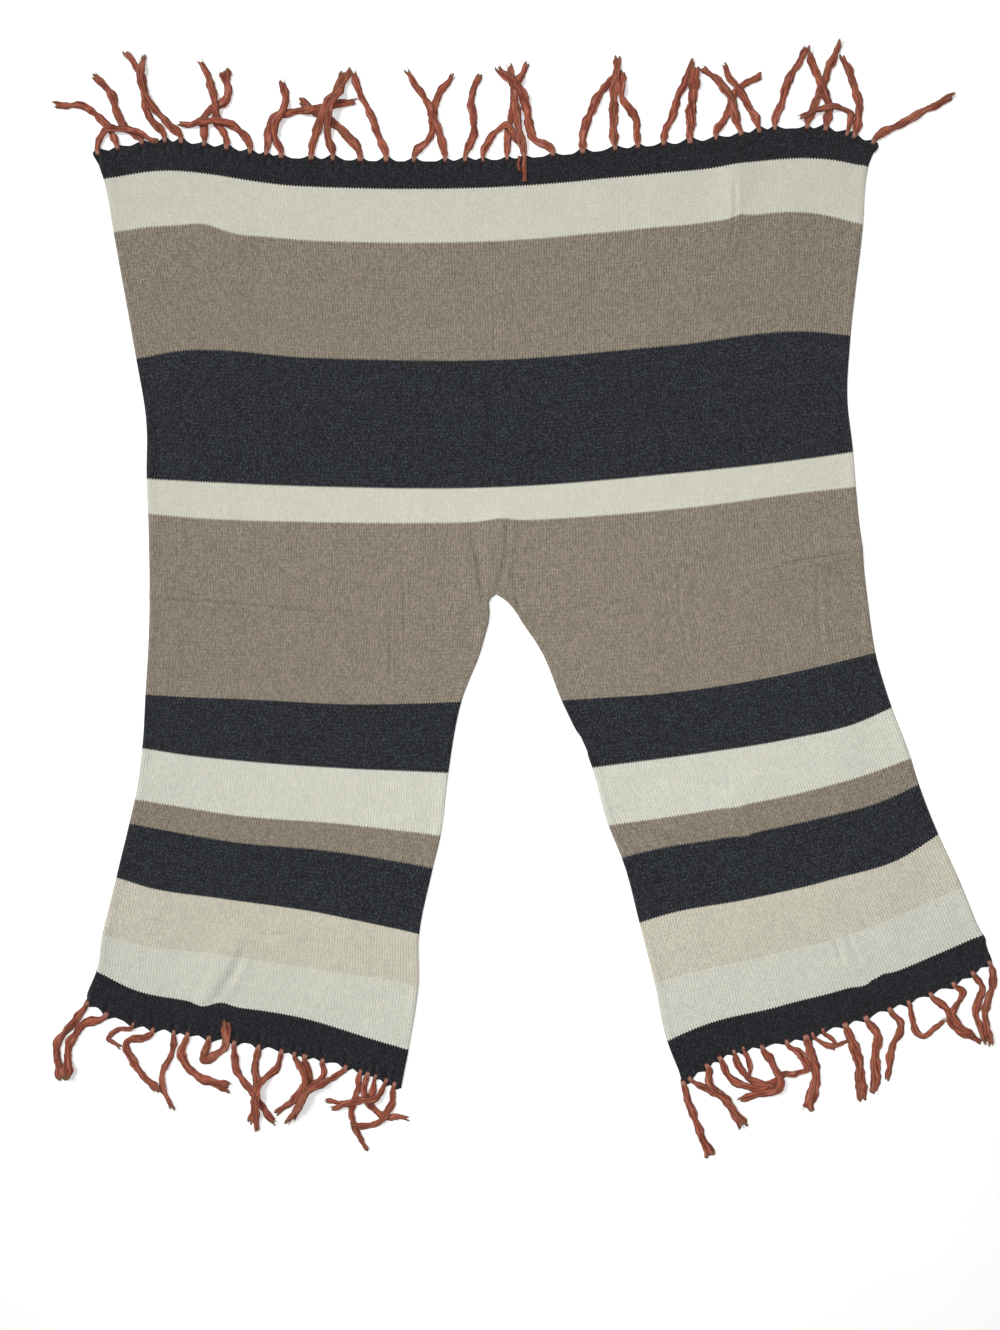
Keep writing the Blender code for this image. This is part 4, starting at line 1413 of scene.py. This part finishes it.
def knit_material(name, stitches, groups, cloth, sizes):
    """The striped knitting: stitches in relief, and the yarn of each course.

    sizes names the settings of the cloth that its stitches take.
    """
    made, graph, shader = new_material(
        name, rough=0.95, specular=0.12, sheen=0.12, sheen_rough=0.5
    )
    vector = graph.add("ShaderNodeUVMap", {}, uv_map="UVMap").outputs[0]
    sizes = {size: getattr(cloth, size) for size in sizes}
    stitch = graph.group(stitches, vector=vector, **sizes)
    colours = {}
    for key, yarn in YARNS.items():
        looks = yarn._asdict()
        looks["base"] = colour_of(getattr(cloth, yarn.base))
        looks["fleck"] = colour_of(getattr(cloth, yarn.fleck))
        del looks["relief"]
        place = {"vector": vector, "height": stitch["Height"], "chance": stitch["Chance"]}
        colours[key] = graph.group(groups["heathered_yarn"], **place, **looks)["Color"]
    colour = colours[BANDS[0].yarn]
    relief = YARNS[BANDS[0].yarn].relief
    for before, band in zip(BANDS, BANDS[1:]):
        changed = graph.math("GREATER_THAN", stitch["Course Place"], (band.course - 0.5) * MM)
        colour = graph.mix(changed, colour, colours[band.yarn])
        step = YARNS[band.yarn].relief - YARNS[before.yarn].relief
        if step:
            relief = graph.math("MULTIPLY_ADD", changed, step, relief)
    graph.wire(shader.inputs["Base Color"], colour)
    fuzz = graph.group(groups["wool_fuzz"], vector=vector)["Height"]
    height = graph.plus(stitch["Height"], graph.times(fuzz, FUZZ_SHARE))
    graph.bump(shader, graph.times(height, relief), strength=0.75, distance=0.0008)
    return made


def roving_material(groups, fringe):
    """Loose rust wool: streaked lock by lock, brown at the frayed end, painted pale as a highlight
    where it is tied, and painted dark as shadow where it goes into the cloth.
    """
    made, graph, shader = new_material(
        "rust_roving", rough=0.85, specular=0.15, sheen=0.12, sheen_rough=0.4
    )
    vector = graph.add("ShaderNodeUVMap", {}, uv_map="UVMap").outputs[0]
    share = graph.add("ShaderNodeAttribute", {}, attribute_name="share").outputs["Fac"]
    tone = graph.add("ShaderNodeAttribute", {}, attribute_name="tone").outputs["Fac"]
    fibres = graph.group(groups["roving_fibres"], vector=vector, tone=tone)
    colour = colour_of(fringe.dark)
    # each colour over those before it: where it begins, where it is full, and how far it covers
    for value, low, high, much, over in (
        (fibres["Streak"], 0.40, 0.60, 1.0, fringe.rust),
        (fibres["Patch"], 0.52, 0.74, 1.0, fringe.pink),
        (tone, 0.66, 1.0, 0.35, fringe.brown),
        # painted highlight: paler where the strand is tied, for the light that its raised top catches
        (share, 0.10, 0.03, 0.55, fringe.knot),
        # painted shadow: dark where the strand dives into the cloth
        (share, 0.035, 0.012, 1.0, fringe.maroon),
        (share, 0.93, 1.0, 0.6, fringe.brown),
    ):
        covers = graph.times(graph.between(value, low, high), much)
        colour = graph.mix(covers, colour, colour_of(over))
    graph.wire(shader.inputs["Base Color"], colour)
    graph.bump(shader, fibres["Streak"], strength=1.0, distance=0.0012)
    return made


def floor_material(stage):
    """A smooth, pale, slightly uneven studio floor."""
    made, graph, shader = new_material("pale_floor", rough=0.75, specular=0.2)
    place = graph.add("ShaderNodeTexCoord", {}).outputs["Object"]
    cloudy = graph.between(graph.noise(place, FLOOR_NOISE), *FLOOR_CLOUDS)
    duller = [DULLER * channel for channel in stage.floor]
    colour = graph.mix(cloudy, colour_of(stage.floor), colour_of(duller))
    graph.wire(shader.inputs["Base Color"], colour)
    shader.inputs["Emission Color"].default_value = colour_of(stage.floor)
    shader.inputs["Emission Strength"].default_value = stage.glow
    graph.bump(shader, graph.noise(place, GRAIN_NOISE), strength=0.1, distance=0.0002)
    return made


def shared_groups():
    """The shader groups that the materials share, each built once."""
    makers = {"heathered_yarn": yarn_group, "wool_fuzz": fuzz_group, "roving_fibres": fibre_group}
    return {name: bpy.data.node_groups.get(name) or make() for name, make in makers.items()}


# ---- Settings ----


def number(name, description, default, kind=FloatProperty, **limits):
    return kind(name=name, description=description, default=default, **limits)


def length(name, description, default, **limits):
    return number(name, description, default, unit="LENGTH", precision=4, **limits)


def colour(name, description, default):
    limits = {"subtype": "COLOR", "size": 3, "min": 0, "max": 1}
    return number(name, description, default, FloatVectorProperty, **limits)


class ClothSettings(bpy.types.PropertyGroup):
    """Sizes and yarns of the knitted cloth."""

    thickness: length("Thickness", "Thickness of the cloth", 0.0025, min=0.001, max=0.003)
    wale: length("Wale", "Width of one column of stitches", 0.0041, min=0.001)
    course: length("Course", "Height of one row of stitches", 0.00275, min=0.001)
    slant: number("Slant", "Rise of a stitch's legs, in courses", 1.0)
    sway: length("Sway", "How far the wales may wander from a straight line", 0.005, min=0.0)
    edge_roll: length("Edge roll", "How far the side edges roll up", 0.0016, min=0.0)
    cream: colour("Cream", "Cream yarn, knitted close", (0.523, 0.516, 0.435))
    open_cream: colour("Open cream", "Cream yarn, knitted loosely", (0.577, 0.575, 0.498))
    cream_fleck: colour("Cream fleck", "Light fibres in the cream", (0.72, 0.70, 0.62))
    tan: colour("Tan", "Tan yarn", (0.540, 0.508, 0.411))
    taupe: colour("Taupe", "Taupe yarn", (0.222, 0.186, 0.144))
    taupe_fleck: colour("Taupe fleck", "Light fibres in the taupe", (0.36, 0.32, 0.26))
    charcoal: colour("Charcoal", "Charcoal yarn", (0.0140, 0.0150, 0.0178))
    charcoal_fleck: colour("Charcoal fleck", "Grey fibres in it", (0.070, 0.081, 0.096))
    hem: colour("Hem", "Charcoal yarn of the hems", (0.0120, 0.0120, 0.0145))


class FringeSettings(bpy.types.PropertyGroup):
    """Sizes and colours of the fringe."""

    strand_height: length("Strand height", "Thickness of a strand", 0.0034, min=0.001)
    locks: number("Locks", "Locks of roving to a strand", 6, IntProperty, min=3, max=9)
    hairs: number("Loose fibres", "Loose fibres to a strand", 12, IntProperty, min=0, max=30)
    rust: colour("Rust", "Main colour of the roving", (0.380, 0.108, 0.060))
    dark: colour("Dark rust", "Shaded streaks", (0.125, 0.030, 0.021))
    pink: colour("Pink", "Paler patches", (0.440, 0.160, 0.115))
    brown: colour("Brown", "Frayed and undyed fibres", (0.190, 0.105, 0.055))
    # painted highlight: the pale colour where a strand is tied stands for the light on its raised top
    knot: colour("Knot", "Where a strand is tied", (0.430, 0.245, 0.180))
    # painted shadow where the strand dives into the cloth
    maroon: colour("Maroon", "Inside the knot", (0.060, 0.012, 0.012))


class StageSettings(bpy.types.PropertyGroup):
    """Floor, lights and camera."""

    floor: colour("Floor", "Colour of the floor", (0.92, 0.92, 0.915))
    key: number("Key light", "Main lamp", 775.0, unit="POWER")
    fill: number("Fill light", "Lamp overhead", 17.4, unit="POWER")
    sky: number("Room light", "Light from all round", 0.20)
    glow: number("Floor glow", "Light of the floor's own", 0.2)
    backdrop: number("Backdrop", "Brightness past the floor", 0.39)
    distance: length("Camera height", "Height of the lens over the cloth", 1.4706)
    lens: number("Lens", "Focal length", 26.0, unit="CAMERA")


# ---- Operators ----


class PONCHO_OT_fringe(bpy.types.Operator):
    """Lay the roving of the three hems"""

    bl_idname = "poncho.fringe"
    bl_label = "Fringe"

    def execute(self, context):
        settings = context.scene.poncho_fringe
        wall = context.scene.poncho_cloth.thickness / MM
        roving = roving_material(shared_groups(), settings)
        for half, strands, node, seed, tails in (
            ("back", BACK_STRANDS, "fringe_back", 11, BACK_TAILS),
            ("left", LEFT_STRANDS, "fringe_front_left", 12, ()),
            ("right", RIGHT_STRANDS, "fringe_front_right", 13, ()),
        ):
            name = node.replace("fringe", "strands")
            made = build_strands(name, half, strands, settings, wall, seed, tails)
            made.data.materials.append(roving)
            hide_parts(node)
            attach(made, "root")
        return {"FINISHED"}


class PONCHO_OT_cloth(bpy.types.Operator):
    """Lay out the knitted cloth, in one with its two fronts"""

    bl_idname = "poncho.cloth"
    bl_label = "Knitted cloth"

    def execute(self, context):
        cloth = context.scene.poncho_cloth
        made = build_cloth(cloth)
        groups = shared_groups()
        for name, stitches, sizes in (
            ("striped_knit", stitch_group(), ("wale", "course", "slant", "sway")),
            ("striped_purl", purl_group(), ("wale", "course")),
        ):
            made.data.materials.append(knit_material(name, stitches, groups, cloth, sizes))
        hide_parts("back", "front_left", "front_right")
        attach(made, "root")
        return {"FINISHED"}


class PONCHO_OT_stage(bpy.types.Operator):
    """Add the pale floor, the soft lights and the camera"""

    bl_idname = "poncho.stage"
    bl_label = "Stage"

    def execute(self, context):
        stage = context.scene.poncho_stage
        scene = context.scene
        steps = np.linspace(-FLOOR_HALF, FLOOR_HALF, FLOOR_STATIONS)
        x, y = np.meshgrid(steps, steps)
        points = np.column_stack([x.ravel(), y.ravel(), np.zeros(x.size)])
        net = np.arange(x.size).reshape(x.shape)
        floor = mesh_object("floor", points, [quads_of(net)[:, ::-1]], points[:, :2])
        floor.data.materials.append(floor_material(stage))

        self.lamp("key_lamp", KEY_PLACE, KEY_SIZE, stage.key)
        self.lamp("fill_lamp", FILL_PLACE, FILL_SIZE, stage.fill)
        world = bpy.data.worlds.new("studio")
        world.use_nodes = True
        graph = Graph(world.node_tree)
        sky = world.node_tree.nodes["Background"]
        sky.inputs["Color"].default_value = (1.0, 1.0, 1.0, 1.0)
        # the backdrop is seen brighter than the soft light that it gives
        seen = graph.add("ShaderNodeLightPath", {}).outputs["Is Camera Ray"]
        strength = graph.math("MULTIPLY_ADD", seen, stage.backdrop - stage.sky, stage.sky)
        graph.wire(sky.inputs["Strength"], strength)
        scene.world = world
        scene.view_settings.view_transform = "Standard"

        lens = bpy.data.cameras.new("camera")
        lens.lens = stage.lens
        lens.sensor_fit = "AUTO"
        lens.sensor_width = SENSOR_WIDE
        camera = linked("camera", lens)
        camera.location = (*CAMERA_PLACE, stage.distance + scene.poncho_cloth.thickness)
        scene.camera = camera
        return {"FINISHED"}

    def lamp(self, name, place, size, watts):
        """A square soft lamp at a place, turned to the middle of the floor."""
        light = bpy.data.lights.new(name, "AREA")
        light.size = size
        light.energy = watts
        made = linked(name, light)
        made.location = place
        made.rotation_euler = Vector(place).to_track_quat("Z", "Y").to_euler()


class PONCHO_PT_panel(bpy.types.Panel):
    """Lists the pieces of the poncho and their settings"""

    bl_idname = "PONCHO_PT_panel"
    bl_label = "Andean Poncho"
    bl_space_type = "VIEW_3D"
    bl_region_type = "UI"
    bl_category = "Poncho"

    def draw(self, context):
        for kind, settings in (
            (PONCHO_OT_fringe, context.scene.poncho_fringe),
            (PONCHO_OT_cloth, context.scene.poncho_cloth),
            (PONCHO_OT_stage, context.scene.poncho_stage),
        ):
            box = self.layout.box()
            box.operator(kind.bl_idname)
            for key in settings.__annotations__:
                box.prop(settings, key)


SETTINGS = {
    "poncho_cloth": ClothSettings,
    "poncho_fringe": FringeSettings,
    "poncho_stage": StageSettings,
}
CLASSES = (*SETTINGS.values(), PONCHO_OT_fringe, PONCHO_OT_cloth, PONCHO_OT_stage, PONCHO_PT_panel)


def register():
    for kind in CLASSES:
        bpy.utils.register_class(kind)
    for name, kind in SETTINGS.items():
        setattr(bpy.types.Scene, name, PointerProperty(type=kind))


def unregister():
    for name in SETTINGS:
        delattr(bpy.types.Scene, name)
    for kind in reversed(CLASSES):
        bpy.utils.unregister_class(kind)


def main():
    """Registers the add-on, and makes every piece."""
    register()
    bpy.ops.poncho.fringe()
    bpy.ops.poncho.cloth()
    bpy.ops.poncho.stage()
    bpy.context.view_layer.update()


if __name__ == "__main__":
    main()
